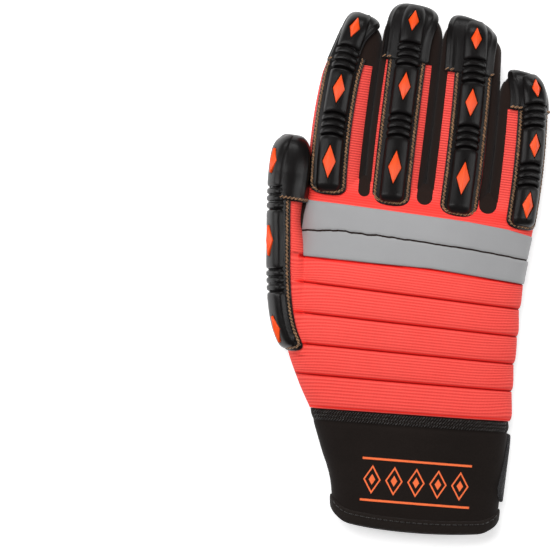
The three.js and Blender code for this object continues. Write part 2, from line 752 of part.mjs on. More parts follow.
function strapSolid() {
  const right = cuffSection(0.36).right;
  const round = STRAP_WIDTH / 2;
  const centreY = SEAM_Y - 2 * CLEARANCE - round - 0.03 * CUFF_LENGTH;
  const left = right - STRAP_REACH;
  const points = [new THREE.Vector2(FAR, centreY + round), new THREE.Vector2(left + round, centreY + round)];
  for (let i = 1; i < 8; i += 1) {
    const turn = Math.PI * (0.5 + i / 8);
    points.push(new THREE.Vector2(left + round + round * Math.cos(turn), centreY + round * Math.sin(turn)));
  }
  points.push(new THREE.Vector2(left + round, centreY - round), new THREE.Vector2(FAR, centreY - round));
  const area = prism(points, -FAR, SEAM_HEIGHT + 0.25 * CUFF_RISE);
  return cuffSolid(CLEARANCE + STRAP_THICKNESS, 0).intersect(area).subtract(cuffSolid(CLEARANCE, 0.1));
}

// Patches on the palm side. x: share of HAND_WIDTH, y: share of HAND_LENGTH from the finger roots.
const UPPER_PATCH = [
  [-0.275, 0.22], [-0.185, 0.3], [-0.1, 0.24], [-0.05, 0.08], [0.012, 0.02], [0.06, 0.12],
  [0.1, 0.25], [0.19, 0.28], [0.25, 0.1], [0.29, 0.03], [0.33, 0.1], [0.35, 0.2],
  [0.44, 0.17], [0.47, 0.0], [0.465, -0.12], [0.3, -0.15], [0.12, -0.18], [-0.02, -0.2],
  [-0.12, -0.16], [-0.2, 0.0],
];
const HEEL_PATCH = [
  [-0.45, 0.1], [-0.36, 0.14], [-0.3, 0.1], [-0.3, -0.02], [-0.22, -0.1], [-0.14, -0.27],
  [-0.02, -0.31], [0.15, -0.27], [0.46, -0.21], [0.47, -0.5], [0.46, -0.74], [0.3, -0.78],
  [0.12, -0.72], [0.0, -0.56], [-0.12, -0.44], [-0.28, -0.38], [-0.4, -0.26], [-0.44, -0.1],
];
const THUMB_PATCH = [
  [-0.575, 0.16], [-0.548, 0.12], [-0.54, 0.0], [-0.5, -0.16], [-0.44, -0.34], [-0.3, -0.46],
  [-0.14, -0.53], [-0.02, -0.66], [0.04, -0.82], [-0.1, -0.85], [-0.26, -0.78], [-0.37, -0.65],
  [-0.46, -0.5], [-0.53, -0.3], [-0.58, -0.1], [-0.6, 0.08],
];

function patch(outline) {
  const corners = outline.map(([x, y]) => new THREE.Vector3(x * HAND_WIDTH, y * HAND_LENGTH, 0));
  const curve = new THREE.CatmullRomCurve3(corners, true, 'centripetal');
  const points = curve.getPoints(outline.length * 2).slice(0, -1);
  return prism(points.map((point) => new THREE.Vector2(point.x, point.y)), 0, PATCH_THICKNESS);
}

function fingerPad(k) {
  const tip = fingerTip(FINGERS[k]);
  const section = fingerSection(k, tip / 2);
  const half = 0.34 * (section.right - section.left);
  const middleAt = (y) => (fingerLine(k, y) + fingerLine(k + 1, y)) / 2;
  const points = stripOutline(middleAt, 0.36 * tip, tip - 0.42 * TIP_ROUND, -half, half);
  return prism(points, 0, PATCH_THICKNESS);
}

// Materials
const material = (color, roughness, metalness = 0) => new THREE.MeshStandardMaterial({ color, roughness, metalness });
const knit = material(0xff5540, 0.8);
const leather = material(0x37373a, 0.7);
const stretch = material(0x2e2a27, 0.75);
const rubber = material(0x2a2a2d, 0.4);
const orangeRubber = material(0xff6a26, 0.35);
const reflective = material(0xa2a3a6, 0.45, 0.2);
const neoprene = material(0x3a3532, 0.85);
const tape = material(0x322e2c, 0.8);
const loop = material(0x3b3d44, 0.95);

const glove = new THREE.Group();
glove.add(piece('back_panel', backPanel, knit));
glove.add(piece('palm_panel', palmPanel, leather));
glove.add(piece('fourchette_index_middle', fourchettes[0], stretch));
glove.add(piece('fourchette_middle_ring', fourchettes[1], stretch));
glove.add(piece('fourchette_ring_little', fourchettes[2], stretch));
glove.add(piece('knuckle_band', knuckleBand, reflective));

const guards = FINGERS.map((finger, k) => ({ name: finger.name, ...fingerGuard(k) }));
guards.push({ name: 'thumb', ...thumbGuard() });
for (const { name, body, lozenges } of guards) {
  glove.add(piece(`guard_${name}`, body, rubber));
  lozenges.forEach((inlay, i) => glove.add(piece(`inlay_${name}_${i + 1}`, inlay, orangeRubber)));
}

glove.add(piece('cuff', cuff, neoprene));
glove.add(piece('cuff_binding', cuffBinding, tape));
glove.add(piece('wrist_strap', strapSolid(), loop));
glove.add(piece('palm_patch_upper', patch(UPPER_PATCH), leather));
glove.add(piece('palm_patch_heel', patch(HEEL_PATCH), leather));
glove.add(piece('palm_patch_thumb', patch(THUMB_PATCH), leather));
FINGERS.forEach((finger, k) => glove.add(piece(`pad_${finger.name}`, fingerPad(k), leather)));

// The origin is on the surface below the middle of the glove.
const bounds = new THREE.Box3().setFromObject(glove);
const centre = bounds.getCenter(new THREE.Vector3());
glove.position.set(-centre.x, -centre.y, -bounds.min.z);

export default glove;
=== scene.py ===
"""A right-hand impact glove lying palm down, dressed over its fixed solids."""

import math

import bpy
import numpy as np
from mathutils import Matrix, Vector


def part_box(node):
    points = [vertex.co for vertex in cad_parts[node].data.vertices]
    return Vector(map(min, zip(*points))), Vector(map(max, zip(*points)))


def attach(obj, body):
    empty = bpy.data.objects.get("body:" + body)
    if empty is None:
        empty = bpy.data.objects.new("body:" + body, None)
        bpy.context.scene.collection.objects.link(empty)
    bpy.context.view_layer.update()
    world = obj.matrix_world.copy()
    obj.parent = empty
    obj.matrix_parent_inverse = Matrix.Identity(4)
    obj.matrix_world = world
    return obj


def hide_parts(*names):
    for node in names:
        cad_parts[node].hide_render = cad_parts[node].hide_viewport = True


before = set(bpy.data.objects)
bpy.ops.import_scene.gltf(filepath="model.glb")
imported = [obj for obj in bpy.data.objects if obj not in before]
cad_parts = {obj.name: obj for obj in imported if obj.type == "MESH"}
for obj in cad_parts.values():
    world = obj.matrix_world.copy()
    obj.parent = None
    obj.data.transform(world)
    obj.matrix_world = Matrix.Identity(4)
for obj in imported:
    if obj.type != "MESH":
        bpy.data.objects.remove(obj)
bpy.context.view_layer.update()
bpy.ops.object.select_all(action="DESELECT")

# The glove is shaped in millimetres, with x = 0 in the middle of the hand and y = 0 at the finger
# roots. SHIFT moves a finished piece to the frame's origin.
SHIFT = np.array([7.548269, 30.220608, 0.0])
MILLIMETRE = 0.001

# Sizes of the hand, the fingers and the thumb
HAND_WIDTH = 114.0
HAND_LENGTH = 103.5
HAND_RISE = 19.0
FINGER_LENGTH = 98.0
FINGER_RISE = 9.4
FINGER_GAP = 0.5
FINGER_SINK = 9.0
TIP_ROUND = 16.0
THUMB_LENGTH = 106.0
THUMB_WIDTH = 20.0
THUMB_RISE = 12.8
THUMB_ROUND = 17.0
SEAM_HEIGHT = 11.0
SIDE_SEAM = 0.16
FABRIC = 1.6
HAND_BOTTOM = 1.3
PLEAT_DEPTH = 1.3
BACK_POWER = 2.35
PALM_POWER = 5.0
PALM_FLATNESS = 1.2
SEAM_SLOPE = 0.07

# Sizes of what is sewn on
FOURCHETTE_WIDTHS = (5.8, 7.8, 9.0)
FLANGE_WIDTH = 19.4
FLANGE_THICKNESS = 1.5
RIDGE_WIDTH = 12.6
RIDGE_HEIGHT = 4.8
RIB_PITCH = 3.5
RIB_BOW = 1.5
CAP_THICKNESS = 2.4
CAP_ROUND = 15.0
INLAY_LENGTH = 15.5
INLAY_WIDTH = 6.4
CUFF_LENGTH = 57.0
CUFF_TOP = -HAND_LENGTH - 0.3
CUFF_RISE = 12.6
CUFF_BOTTOM = 1.9
CUFF_WALL = 2.8
MOUTH_WIDTH = 82.0
MOUTH_MIDDLE = 0.171
MOUTH_RADIUS = 10.0

# The ends of the knuckle band, and how far it still lies on the hand's top
BAND_LEFT, BAND_RIGHT = -56.6, 57.2
BAND_INNER = 56.4

# Steps across a Skin, and the length of the one stitch that all are made from
SKIN_STEP = 0.25
STITCH_LENGTH = 0.84

# The cuff's print: its middle, half its length, half a lozenge and the distance to the next, and
# how far its two lines lie from its middle
PRINT_MIDDLE = (17.5, -137.0)
PRINT_HALF = 27.2
LOZENGE_PITCH = 11.0
LOZENGE_HALF = (4.6, 7.6)
PRINT_LINE = 10.4

# Rows of knit: their number in each pleat, and their pitch on the plain part
PLEAT_ROWS = 10
KNIT_PITCH = 1.25

# Sections of the hand: share of its length, left and right as shares of its width, and share
# of its rise
HAND_TABLE = np.array([
    [0.0, -0.351, 0.525, 0.72], [0.12, -0.418, 0.514, 0.8], [0.285, -0.492, 0.504, 0.9],
    [0.43, -0.513, 0.502, 0.97], [0.57, -0.512, 0.494, 1.0], [0.71, -0.502, 0.496, 0.98],
    [0.84, -0.494, 0.502, 0.92], [0.96, -0.498, 0.51, 0.8], [1.04, -0.497, 0.51, 0.64],
    [1.09, -0.48, 0.493, 0.48], [1.12, -0.43, 0.447, 0.32],
])
# Where the pleats' folds lie, as shares of the hand's length
FOLDS = np.array([0.0, 0.152, 0.291, 0.432, 0.572, 0.702])

# Lines between the fingers at root, middle and tip, as shares of the hand's width
FINGER_LINES = np.array([
    [-0.494, -0.511, -0.443], [-0.247, -0.26, -0.253], [0.017, 0.0105, -0.0035],
    [0.295, 0.288, 0.25], [0.507, 0.4965, 0.43],
])

# Each finger: share of the length, rise at the root, where its guard sits on the section in
# degrees, the flange's left and right edge and foot as shares of its width, where the knit ends,
# the edges of its cap in degrees, how far its tip leans back to the right of a place beside its
# middle, how much the tip narrows on its left, and how far its ridge moves across there
FINGER_KEYS = (
    "name", "length", "root", "angle", "from", "to", "foot", "knit", "cap",
    "lean", "pivot", "narrow", "veer",
)
FINGERS = [dict(zip(FINGER_KEYS, row)) for row in (
    ("index", 0.925, 1.14, 102, -0.5, 0.46, 0.0, 66.5, (80, 150), 0.26, -4.0, 3.4, -1.2),
    ("middle", 1.0, 1.4, 93, -0.5, 0.46, -0.06, 71.5, (57, 147), 0.06, 0.0, 0.0, 0.0),
    ("ring", 0.977, 1.36, 86, -0.48, 0.48, -0.1, 69.3, (48, 138), 0.24, -4.0, 0.0, 0.0),
    ("little", 0.745, 1.08, 63, -0.42, 0.5, -0.2, 55.0, (5, 116), 0.12, -5.0, 0.0, 0.0),
)]

# Places along each guard as shares of its length, and the inlays' lengths as shares of INLAY_LENGTH
GUARD_PLACES = {
    "index": {"ribs": (0.393, 0.762), "inlays": (0.181, 0.584, 0.919), "sizes": (1.08, 0.93, 0.7)},
    "middle": {"ribs": (0.404, 0.769), "inlays": (0.182, 0.599, 0.928), "sizes": (1.08, 0.9, 0.7)},
    "ring": {"ribs": (0.4, 0.749), "inlays": (0.179, 0.577, 0.908), "sizes": (1.08, 0.9, 0.72)},
    "little": {"ribs": (0.33, 0.737), "inlays": (0.116, 0.527, 0.908), "sizes": (0.86, 0.76, 0.6)},
    "thumb": {"ribs": (0.31, 0.703), "inlays": (0.09, 0.5, 0.88), "sizes": (0.9, 1.0, 0.82)},
}

# Sections of the thumb: share of its length, middle as a share of the hand's width, width and rise
THUMB_TABLE = np.array([
    [0.0, -0.405, 0.75, 0.88], [0.12, -0.457, 0.93, 0.98], [0.24, -0.489, 0.98, 1.04],
    [0.38, -0.516, 0.95, 1.06], [0.52, -0.542, 0.83, 1.04], [0.62, -0.564, 0.71, 1.0],
    [0.72, -0.572, 0.76, 0.98], [0.84, -0.575, 0.82, 0.92], [0.92, -0.579, 0.76, 0.8],
    [1.0, -0.588, 0.28, 0.34],
])
THUMB_START = -0.78
THUMB_TIP = 0.84
THUMB_ANGLE = 139
THUMB_KNIT = -5.5
THUMB_RIDGE = 4.0

# Chance for the small differences between stitches
rng = np.random.default_rng(7)


# Arithmetic


def clamped(value):
    return np.clip(value, 0, 1)


def unit(vectors, least=1e-9):
    """Vectors made one long. The least length keeps an empty one from dividing by zero."""
    return vectors / (np.linalg.norm(vectors, axis=-1, keepdims=True) + least)


def blended(at, places, rows):
    """Rows of numbers, read between their places."""
    return np.stack([np.interp(at, places, column) for column in rows.T], -1)


def quarter_round(share):
    """The height of a quarter round, from 0 to 1, at a share of its reach."""
    return np.sqrt(clamped(1 - (1 - share) ** 2))


def signed_power(value, exponent):
    return np.sign(value) * np.abs(value) ** exponent


def round_turns(count):
    return np.linspace(0, 2 * math.pi, count, endpoint=False)


def to_tip(low, tip, reach, step, count=22):
    """Places from low to a tip, ever closer together over the last reach."""
    into = 1 - (1 - np.linspace(0, 1, count)) ** 2
    return np.append(np.arange(low, tip - reach, step), tip - reach * (1 - into) - 1e-4 * into)


def wobble(seed, amount, *phases):
    """A smooth irregular value from a few waves."""
    source = np.random.default_rng(seed)
    total = 0.0
    for phase in phases:
        for octave in (1.0, 2.1, 4.3):
            total = total + np.sin(phase * octave + source.uniform(0, 6.28)) / octave
    return amount * total / len(phases) / 1.7


# Surfaces


def between(table, column, at):
    """Smooth values between the rows of a table, whose first column holds the places."""
    at = np.asarray(at, float)
    places, values = table[:, 0], table[:, column]
    before = np.concatenate([values[:1], values[:-1]])
    after = np.concatenate([values[1:], values[-1:]])
    low = np.concatenate([places[:1], places[:-1]])
    high = np.concatenate([places[1:], places[-1:]])
    slopes = (after - before) / (high - low)
    i = np.clip(np.searchsorted(places, at) - 1, 0, len(places) - 2)
    span = places[i + 1] - places[i]
    t = clamped((at - places[i]) / span)
    rise = (2 * t**3 - 3 * t**2 + 1) * values[i] + (3 * t**2 - 2 * t**3) * values[i + 1]
    return rise + span * ((t**3 - 2 * t**2 + t) * slopes[i] + (t**3 - t**2) * slopes[i + 1])


def ring_points(section, turns):
    """Points at turns round sections: a rounded back above the side seam, a flat palm below."""
    keys = ("y", "left", "right", "rise", "bottom", "slope", "puff")
    size = np.shape(section["y"])
    y, left, right, rise, bottom, slope, puff = (
        np.broadcast_to(np.asarray(section.get(key, 0.0), float), size)[:, None] for key in keys
    )
    turns = np.atleast_2d(turns)
    lift = np.sin(turns)
    up = lift >= 0
    exponent = np.where(up, 2 / BACK_POWER, 2 / PALM_POWER)
    swell = np.where(up, puff, 0) * (1 - clamped((-np.cos(turns) - 0.8) / 0.17))
    half = (right - left) / 2 + swell
    x = (left + right) / 2 + half * signed_power(np.cos(turns), exponent)
    depth = SEAM_HEIGHT - bottom
    lift = signed_power(lift, exponent)
    z = np.where(up, (rise + swell) * lift, np.maximum(-depth, PALM_FLATNESS * depth * lift))
    return np.stack([x, y + slope * x, SEAM_HEIGHT + z], -1)


def grown(section, offset):
    """Sections grown outwards by an offset."""
    return {
        **section,
        "left": section["left"] - offset,
        "right": section["right"] + offset,
        "rise": section["rise"] + offset,
        "bottom": section["bottom"] - offset,
    }


def hand_sections(at, puff=0.0):
    at = np.asarray(at, float)
    return {
        "y": HAND_LENGTH * (at - 1),
        "left": HAND_WIDTH * between(HAND_TABLE, 1, at),
        "right": HAND_WIDTH * between(HAND_TABLE, 2, at),
        "rise": HAND_RISE * between(HAND_TABLE, 3, at),
        "bottom": np.full(at.shape, HAND_BOTTOM),
        "slope": SEAM_SLOPE * np.maximum(0, 1 - at / FOLDS[-1]),
        "puff": puff,
    }


def finger_line(k, y):
    """Where the line before finger k lies at a place along: a curve through its three shares."""
    root, middle, tip = FINGER_LINES[k]
    t = clamped(np.asarray(y) / FINGER_LENGTH)
    a = 2 * root - 4 * middle + 2 * tip
    b = -3 * root + 4 * middle - tip
    return HAND_WIDTH * (a * t * t + b * t + root)


def finger_tip(k):
    return FINGERS[k]["length"] * FINGER_LENGTH


def finger_sections(k, y):
    y = np.asarray(y, float)
    tip = finger_tip(k)
    left = finger_line(k, y) + FINGER_GAP / 2
    right = finger_line(k + 1, y) - FINGER_GAP / 2
    left = left + FINGERS[k]["narrow"] * clamped((y - tip + 31) / 23) ** 1.2
    into = clamped((y - tip + TIP_ROUND) / TIP_ROUND)
    share = (1 - into**2.5) ** (1 / 2.5)
    close = quarter_round(clamped(share / 0.35))
    half = (right - left) / 2 * share
    belly = 0.94 + (FINGERS[k]["root"] - 0.94) * (1 - clamped(y / tip)) ** 2.5
    low = HAND_BOTTOM + (SEAM_HEIGHT - HAND_BOTTOM) * 0.7 * (1 - np.minimum(1, share * 1.25))
    lean = FINGERS[k]["lean"] * clamped((y - tip + 15) / 13) ** 1.5
    return {
        "y": y + lean * ((left + right) / 2 + FINGERS[k]["pivot"]),
        "slope": -lean,
        "left": (left + right) / 2 - half,
        "right": (left + right) / 2 + half,
        "rise": FINGER_RISE * belly * (0.25 + 0.75 * share) * close,
        "bottom": SEAM_HEIGHT - (SEAM_HEIGHT - low) * close,
    }


def thumb_y(at):
    return THUMB_START * HAND_LENGTH + at * THUMB_LENGTH


def thumb_sections(y):
    y = np.asarray(y, float)
    at = (y - thumb_y(0)) / THUMB_LENGTH
    middle = HAND_WIDTH * between(THUMB_TABLE, 1, at)
    into = clamped((at - THUMB_TIP) / 0.16)
    share = (1 - into**2.4) ** (1 / 2.4)
    half = THUMB_WIDTH / 2 * between(THUMB_TABLE, 2, np.minimum(at, THUMB_TIP)) * share
    rise = THUMB_RISE * between(THUMB_TABLE, 3, np.minimum(at, THUMB_TIP)) * share**0.9
    return {
        "y": y,
        "left": middle - half,
        "right": middle + half,
        "rise": rise,
        "bottom": SEAM_HEIGHT - (SEAM_HEIGHT - HAND_BOTTOM) * quarter_round(clamped(share / 0.6)),
    }


def cuff_sections(at):
    at = np.asarray(at, float)
    top = hand_sections(np.array([0.0]))
    profile = np.array([
        [0, 0, 0], [0.32, 0.42, 0.3], [0.56, 0.76, 0.6], [0.78, 0.93, 0.9], [1, 1, 1.0],
    ])
    share = clamped(at)
    middle = MOUTH_MIDDLE * HAND_WIDTH
    left, right, rise = top["left"][0], top["right"][0], top["rise"][0]
    return {
        "y": CUFF_TOP - at * CUFF_LENGTH,
        "left": left + (middle - MOUTH_WIDTH / 2 - left) * between(profile, 1, share),
        "right": right + (middle + MOUTH_WIDTH / 2 - right) * between(profile, 2, share),
        "rise": rise + (CUFF_RISE - rise) * share,
        "bottom": np.full(at.shape, CUFF_BOTTOM),
        "slope": SEAM_SLOPE,
    }


class Skin:
    """The outside of a finger, the thumb, the hand or the cuff, addressed by the length across it
    from a middle line, and by the place along it."""

    def __init__(self, sections, places, angle, reach=30.0):
        turns = math.radians(angle) + np.linspace(math.pi, -math.pi, 481)
        rings = ring_points(sections(places), np.mod(turns, 2 * math.pi))
        steps = np.linalg.norm(np.diff(rings, axis=1), axis=2)
        arc = np.concatenate([np.zeros((len(places), 1)), np.cumsum(steps, 1)], 1)
        arc -= arc[:, 240:241]
        self.places = places
        self.widths = np.arange(-reach, reach + 0.1, SKIN_STEP)
        self.points = np.stack([blended(self.widths, *row) for row in zip(arc, rings)])
        along = np.gradient(self.points, self.places, axis=0)
        across = np.gradient(self.points, SKIN_STEP, axis=1)
        self.normals = unit(np.cross(across, along))

    def at(self, across, along):
        """Points and outward normals."""
        across, along = np.broadcast_arrays(np.asarray(across, float), np.asarray(along, float))
        u = np.clip((across - self.widths[0]) / SKIN_STEP, 0, len(self.widths) - 1.001)
        v = np.interp(along, self.places, np.arange(len(self.places)))
        v = np.clip(v, 0, len(self.places) - 1.001)
        i, j = v.astype(int), u.astype(int)
        s, t = (v - i)[..., None], (u - j)[..., None]

        def mixed(grid):
            low = grid[i, j] * (1 - t) + grid[i, j + 1] * t
            high = grid[i + 1, j] * (1 - t) + grid[i + 1, j + 1] * t
            return low * (1 - s) + high * s

        return mixed(self.points), unit(mixed(self.normals))

    def across_for(self, x, along):
        """The length across at which the outside has a given x."""
        x, along = np.broadcast_arrays(np.asarray(x, float), np.asarray(along, float))
        rows = np.clip(np.searchsorted(self.places, along.ravel()), 0, len(self.places) - 1)
        middle = len(self.widths) // 2
        found = []
        for value, row in zip(x.ravel(), rows):
            line = self.points[row, :, 0]
            left = middle
            while left > 0 and line[left - 1] < line[left] - 1e-3:
                left -= 1
            right = middle
            while right < len(line) - 1 and line[right + 1] > line[right] + 1e-3:
                right += 1
            found.append(np.interp(value, line[left : right + 1], self.widths[left : right + 1]))
        return np.array(found).reshape(x.shape)


# Meshes


def grid_faces(rows, columns, closed=False, first=0):
    """Quads of a grid of points, row after row, closed round the columns or not."""
    index = first + np.arange(rows * columns).reshape(rows, columns)
    if closed:
        index = np.concatenate([index, index[:, :1]], 1)
    a, b = index[:-1, :-1], index[:-1, 1:]
    c, d = index[1:, 1:], index[1:, :-1]
    return np.stack([a, b, c, d], -1).reshape(-1, 4)


def ring_faces(rows, columns):
    """Faces of rings, closed round each ring and from the last ring to the first."""
    one = np.arange(columns)
    two, last = (one + 1) % columns, (rows - 1) * columns
    closing = np.stack([last + one, last + two, two, one], 1)
    return grid_faces(rows, columns, closed=True).tolist() + closing.tolist()


def tube(rings):
    """Points and faces of a closed tube through rings, with its ends closed to their middles."""
    rows, columns = rings.shape[:2]
    one, count = np.arange(columns), rows * columns
    two, last = (one + 1) % columns, count - columns
    faces = grid_faces(rows, columns, closed=True).tolist()
    faces += np.stack([two, one, np.full(columns, count)], 1).tolist()
    faces += np.stack([last + one, last + two, np.full(columns, count + 1)], 1).tolist()
    middles = [rings[0].mean(0)[None], rings[-1].mean(0)[None]]
    return np.concatenate([rings.reshape(-1, 3), *middles]), faces


def shape(name, points, faces):
    """An object from points in the hand's millimetres."""
    mesh = bpy.data.meshes.new(name)
    mesh.from_pydata((np.asarray(points) + SHIFT) * MILLIMETRE, [], [list(face) for face in faces])
    mesh.validate()
    piece = bpy.data.objects.new(name, mesh)
    bpy.context.scene.collection.objects.link(piece)
    return piece


def choose(piece):
    bpy.ops.object.select_all(action="DESELECT")
    piece.select_set(True)
    bpy.context.view_layer.objects.active = piece


class EditMode:
    """Mesh tools called within it work on the active object."""

    def __enter__(self):
        bpy.ops.object.mode_set(mode="EDIT")

    def __exit__(self, *reasons):
        bpy.ops.object.mode_set(mode="OBJECT")


def pick(piece, kind, chosen):
    """Selects only the chosen corners or faces of a piece for the mesh tools."""
    choose(piece)
    with EditMode():
        bpy.ops.mesh.select_mode(type=kind)
        bpy.ops.mesh.select_all(action="DESELECT")
    parts = piece.data.vertices if kind == "VERT" else piece.data.polygons
    parts.foreach_set("select", chosen)


def outwards(piece):
    """Merges doubles and turns all faces outwards."""
    choose(piece)
    with EditMode():
        bpy.ops.mesh.select_all(action="SELECT")
        bpy.ops.mesh.remove_doubles(threshold=0.002 * MILLIMETRE)
        bpy.ops.mesh.normals_make_consistent(inside=False)
    return piece


def solid(name, points, faces):
    """A closed object from points in the hand's millimetres."""
    return outwards(shape(name, points, faces))


def joined(pieces, name):
    """Several pieces as one object."""
    bpy.ops.object.select_all(action="DESELECT")
    for piece in pieces:
        piece.select_set(True)
    bpy.context.view_layer.objects.active = pieces[0]
    if len(pieces) > 1:
        bpy.ops.object.join()
    pieces[0].name = name
    return pieces[0]


def cut(piece, tool, operation):
    """Joins, cuts or intersects a piece with a tool, and removes the tool."""
    choose(piece)
    modifier = piece.modifiers.new("cut", "BOOLEAN")
    modifier.operation = operation
    modifier.solver = "MANIFOLD"
    modifier.object = tool
    bpy.ops.object.modifier_apply(modifier="cut")
    bpy.data.objects.remove(tool)
    return piece


def copy_of(piece, name):
    other = piece.copy()
    other.data = piece.data.copy()
    other.name = name
    bpy.context.scene.collection.objects.link(other)
    return other


def half_of(piece, height, above):
    """The part of a closed piece above or below a height. The cutting block is a fine grid, so
    that the flat cut has no large faces."""
    bpy.ops.object.select_all(action="DESELECT")
    middle = (0, 20 * MILLIMETRE, height * MILLIMETRE)
    bpy.ops.mesh.primitive_grid_add(x_subdivisions=60, y_subdivisions=90, size=0.3, location=middle)
    block = bpy.context.object
    away = (0, 0, 0.12 if above else -0.12)
    with EditMode():
        bpy.ops.mesh.select_all(action="SELECT")
        bpy.ops.mesh.extrude_region_move(TRANSFORM_OT_translate={"value": away})
        bpy.ops.mesh.select_all(action="SELECT")
        bpy.ops.mesh.normals_make_consistent(inside=False)
    return cut(piece, block, "INTERSECT")


def prism(name, outline, low, high):
    """An upright prism over a flat outline."""
    outline = np.asarray(outline)
    n = len(outline)
    ground = np.column_stack([outline, np.full(n, low)])
    roof = np.column_stack([outline, np.full(n, high)])
    faces = [list(range(n))[::-1], list(range(n, 2 * n))]
    faces += [[i, (i + 1) % n, n + (i + 1) % n, n + i] for i in range(n)]
    return solid(name, np.concatenate([ground, roof]), faces)


def finish_piece(piece, material, nodes=(), angle=None):
    """Gives a piece its material, its shading and its place on the glove."""
    piece.data.materials.clear()
    piece.data.materials.append(material)
    choose(piece)
    if angle is None:
        bpy.ops.object.shade_smooth()
    else:
        bpy.ops.object.shade_smooth_by_angle(angle=math.radians(angle))
    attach(piece, "root")
    if nodes:
        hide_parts(*nodes)
    return piece


def vertex_places(piece):
    """A mesh's points, back in the hand's millimetres."""
    places = np.zeros(len(piece.data.vertices) * 3, np.float32)
    piece.data.vertices.foreach_get("co", places)
    return places.reshape(-1, 3).astype(float) / MILLIMETRE - SHIFT


def add_values(piece, name, values):
    """A value at each point that a material can read."""
    layer = piece.data.attributes.new(name, "FLOAT", "POINT")
    layer.data.foreach_set("value", np.asarray(values, np.float32))


# Materials


class Value:
    """A number over a surface: arithmetic on it adds Math nodes."""

    def __init__(self, finish, socket):
        self.finish = finish
        self.socket = socket

    def math(self, operation, *others):
        sockets = dict(enumerate((self, *others)))
        return self.finish.value("ShaderNodeMath", {"operation": operation}, sockets)

    def turned(self, operation, other):
        return self.finish.value("ShaderNodeMath", {"operation": operation}, {0: other, 1: self})

    def __add__(self, other):
        return self.math("ADD", other)

    def __radd__(self, other):
        return self.turned("ADD", other)

    def __sub__(self, other):
        return self.math("SUBTRACT", other)

    def __rsub__(self, other):
        return self.turned("SUBTRACT", other)

    def __mul__(self, other):
        return self.math("MULTIPLY", other)

    def __rmul__(self, other):
        return self.turned("MULTIPLY", other)

    def __truediv__(self, other):
        return self.math("DIVIDE", other)


class Finish:
    """A material, made of a principled shader and what varies over the surface."""

    def __init__(self, name, color, roughness, **constants):
        self.material = bpy.data.materials.new(name)
        self.material.use_nodes = True
        self.tree = self.material.node_tree
        self.tree.nodes.clear()
        sockets = {"Roughness": roughness, **constants}
        self.shader = self.node("ShaderNodeBsdfPrincipled", {}, sockets)
        if color is not None:
            self.shader.inputs["Base Color"].default_value = (*color, 1)
        self.node("ShaderNodeOutputMaterial", {}, {"Surface": self.shader.outputs[0]})
        self.place = self.node("ShaderNodeTexCoord").outputs["Object"]

    def node(self, kind, settings=None, sockets=None):
        made = self.tree.nodes.new(kind)
        for key, setting in (settings or {}).items():
            if key == "stops":
                ramp = made.color_ramp
                while len(ramp.elements) < len(setting):
                    ramp.elements.new(0.5)
                for element, (place, color) in zip(ramp.elements, setting):
                    element.position = place
                    element.color = (*color, 1)
            else:
                setattr(made, key, setting)
        for key, source in (sockets or {}).items():
            source = source.socket if isinstance(source, Value) else source
            if isinstance(source, bpy.types.NodeSocket):
                self.tree.links.new(source, made.inputs[key])
            else:
                made.inputs[key].default_value = source
        return made

    def value(self, kind, settings=None, sockets=None, output=0):
        return Value(self, self.node(kind, settings, sockets).outputs[output])

    def noise(self, scale, detail=3.0):
        sockets = {"Vector": self.place, "Scale": scale, "Detail": detail, "Roughness": 0.55}
        return self.value("ShaderNodeTexNoise", {}, sockets)

    def counted(self, axis, x_pitch, y_pitch=None, turn=0.0):
        """How many pitches lie along x (0) or y (1), with the weave turned in plan."""
        scale = (1000 / x_pitch, 1000 / (y_pitch or x_pitch), 0)
        sockets = {"Vector": self.place, "Rotation": (0, 0, turn), "Scale": scale}
        places = self.node("ShaderNodeMapping", {"vector_type": "POINT"}, sockets).outputs[0]
        return self.value("ShaderNodeSeparateXYZ", {}, {"Vector": places}, axis)

    def attribute(self, name):
        return self.value("ShaderNodeAttribute", {"attribute_name": name}, output="Fac")

    def wave(self, phase):
        """A wave from 0 to 1, once for each whole number."""
        return (phase * (2 * math.pi)).math("SINE") * 0.5 + 0.5

    def blend(self, share, low, high):
        """A colour between two others."""
        made = self.node("ShaderNodeMix", {"data_type": "RGBA", "clamp_factor": True})
        for index, source in ((0, share), (6, low), (7, high)):
            source = source.socket if isinstance(source, Value) else source
            if isinstance(source, bpy.types.NodeSocket):
                self.tree.links.new(source, made.inputs[index])
            elif index:
                made.inputs[index].default_value = (*source, 1)
            else:
                made.inputs[index].default_value = source
        return made.outputs[2]

    def limited(self, value, low, high, to_low=0.0, to_high=1.0):
        sockets = {"Value": value, 1: low, 2: high, 3: to_low, 4: to_high}
        return self.value("ShaderNodeMapRange", {"interpolation_type": "SMOOTHSTEP"}, sockets)

    def color(self, source):
        self.tree.links.new(source, self.shader.inputs["Base Color"])

    def rough(self, value):
        self.tree.links.new(value.socket, self.shader.inputs["Roughness"])

    def bump(self, height, distance):
        """Raises the surface by a height from 0 to 1 times a distance in millimetres."""
        sockets = {"Height": height, "Distance": distance * MILLIMETRE, "Strength": 1.0}
        made = self.node("ShaderNodeBump", {}, sockets)
        self.tree.links.new(made.outputs[0], self.shader.inputs["Normal"])


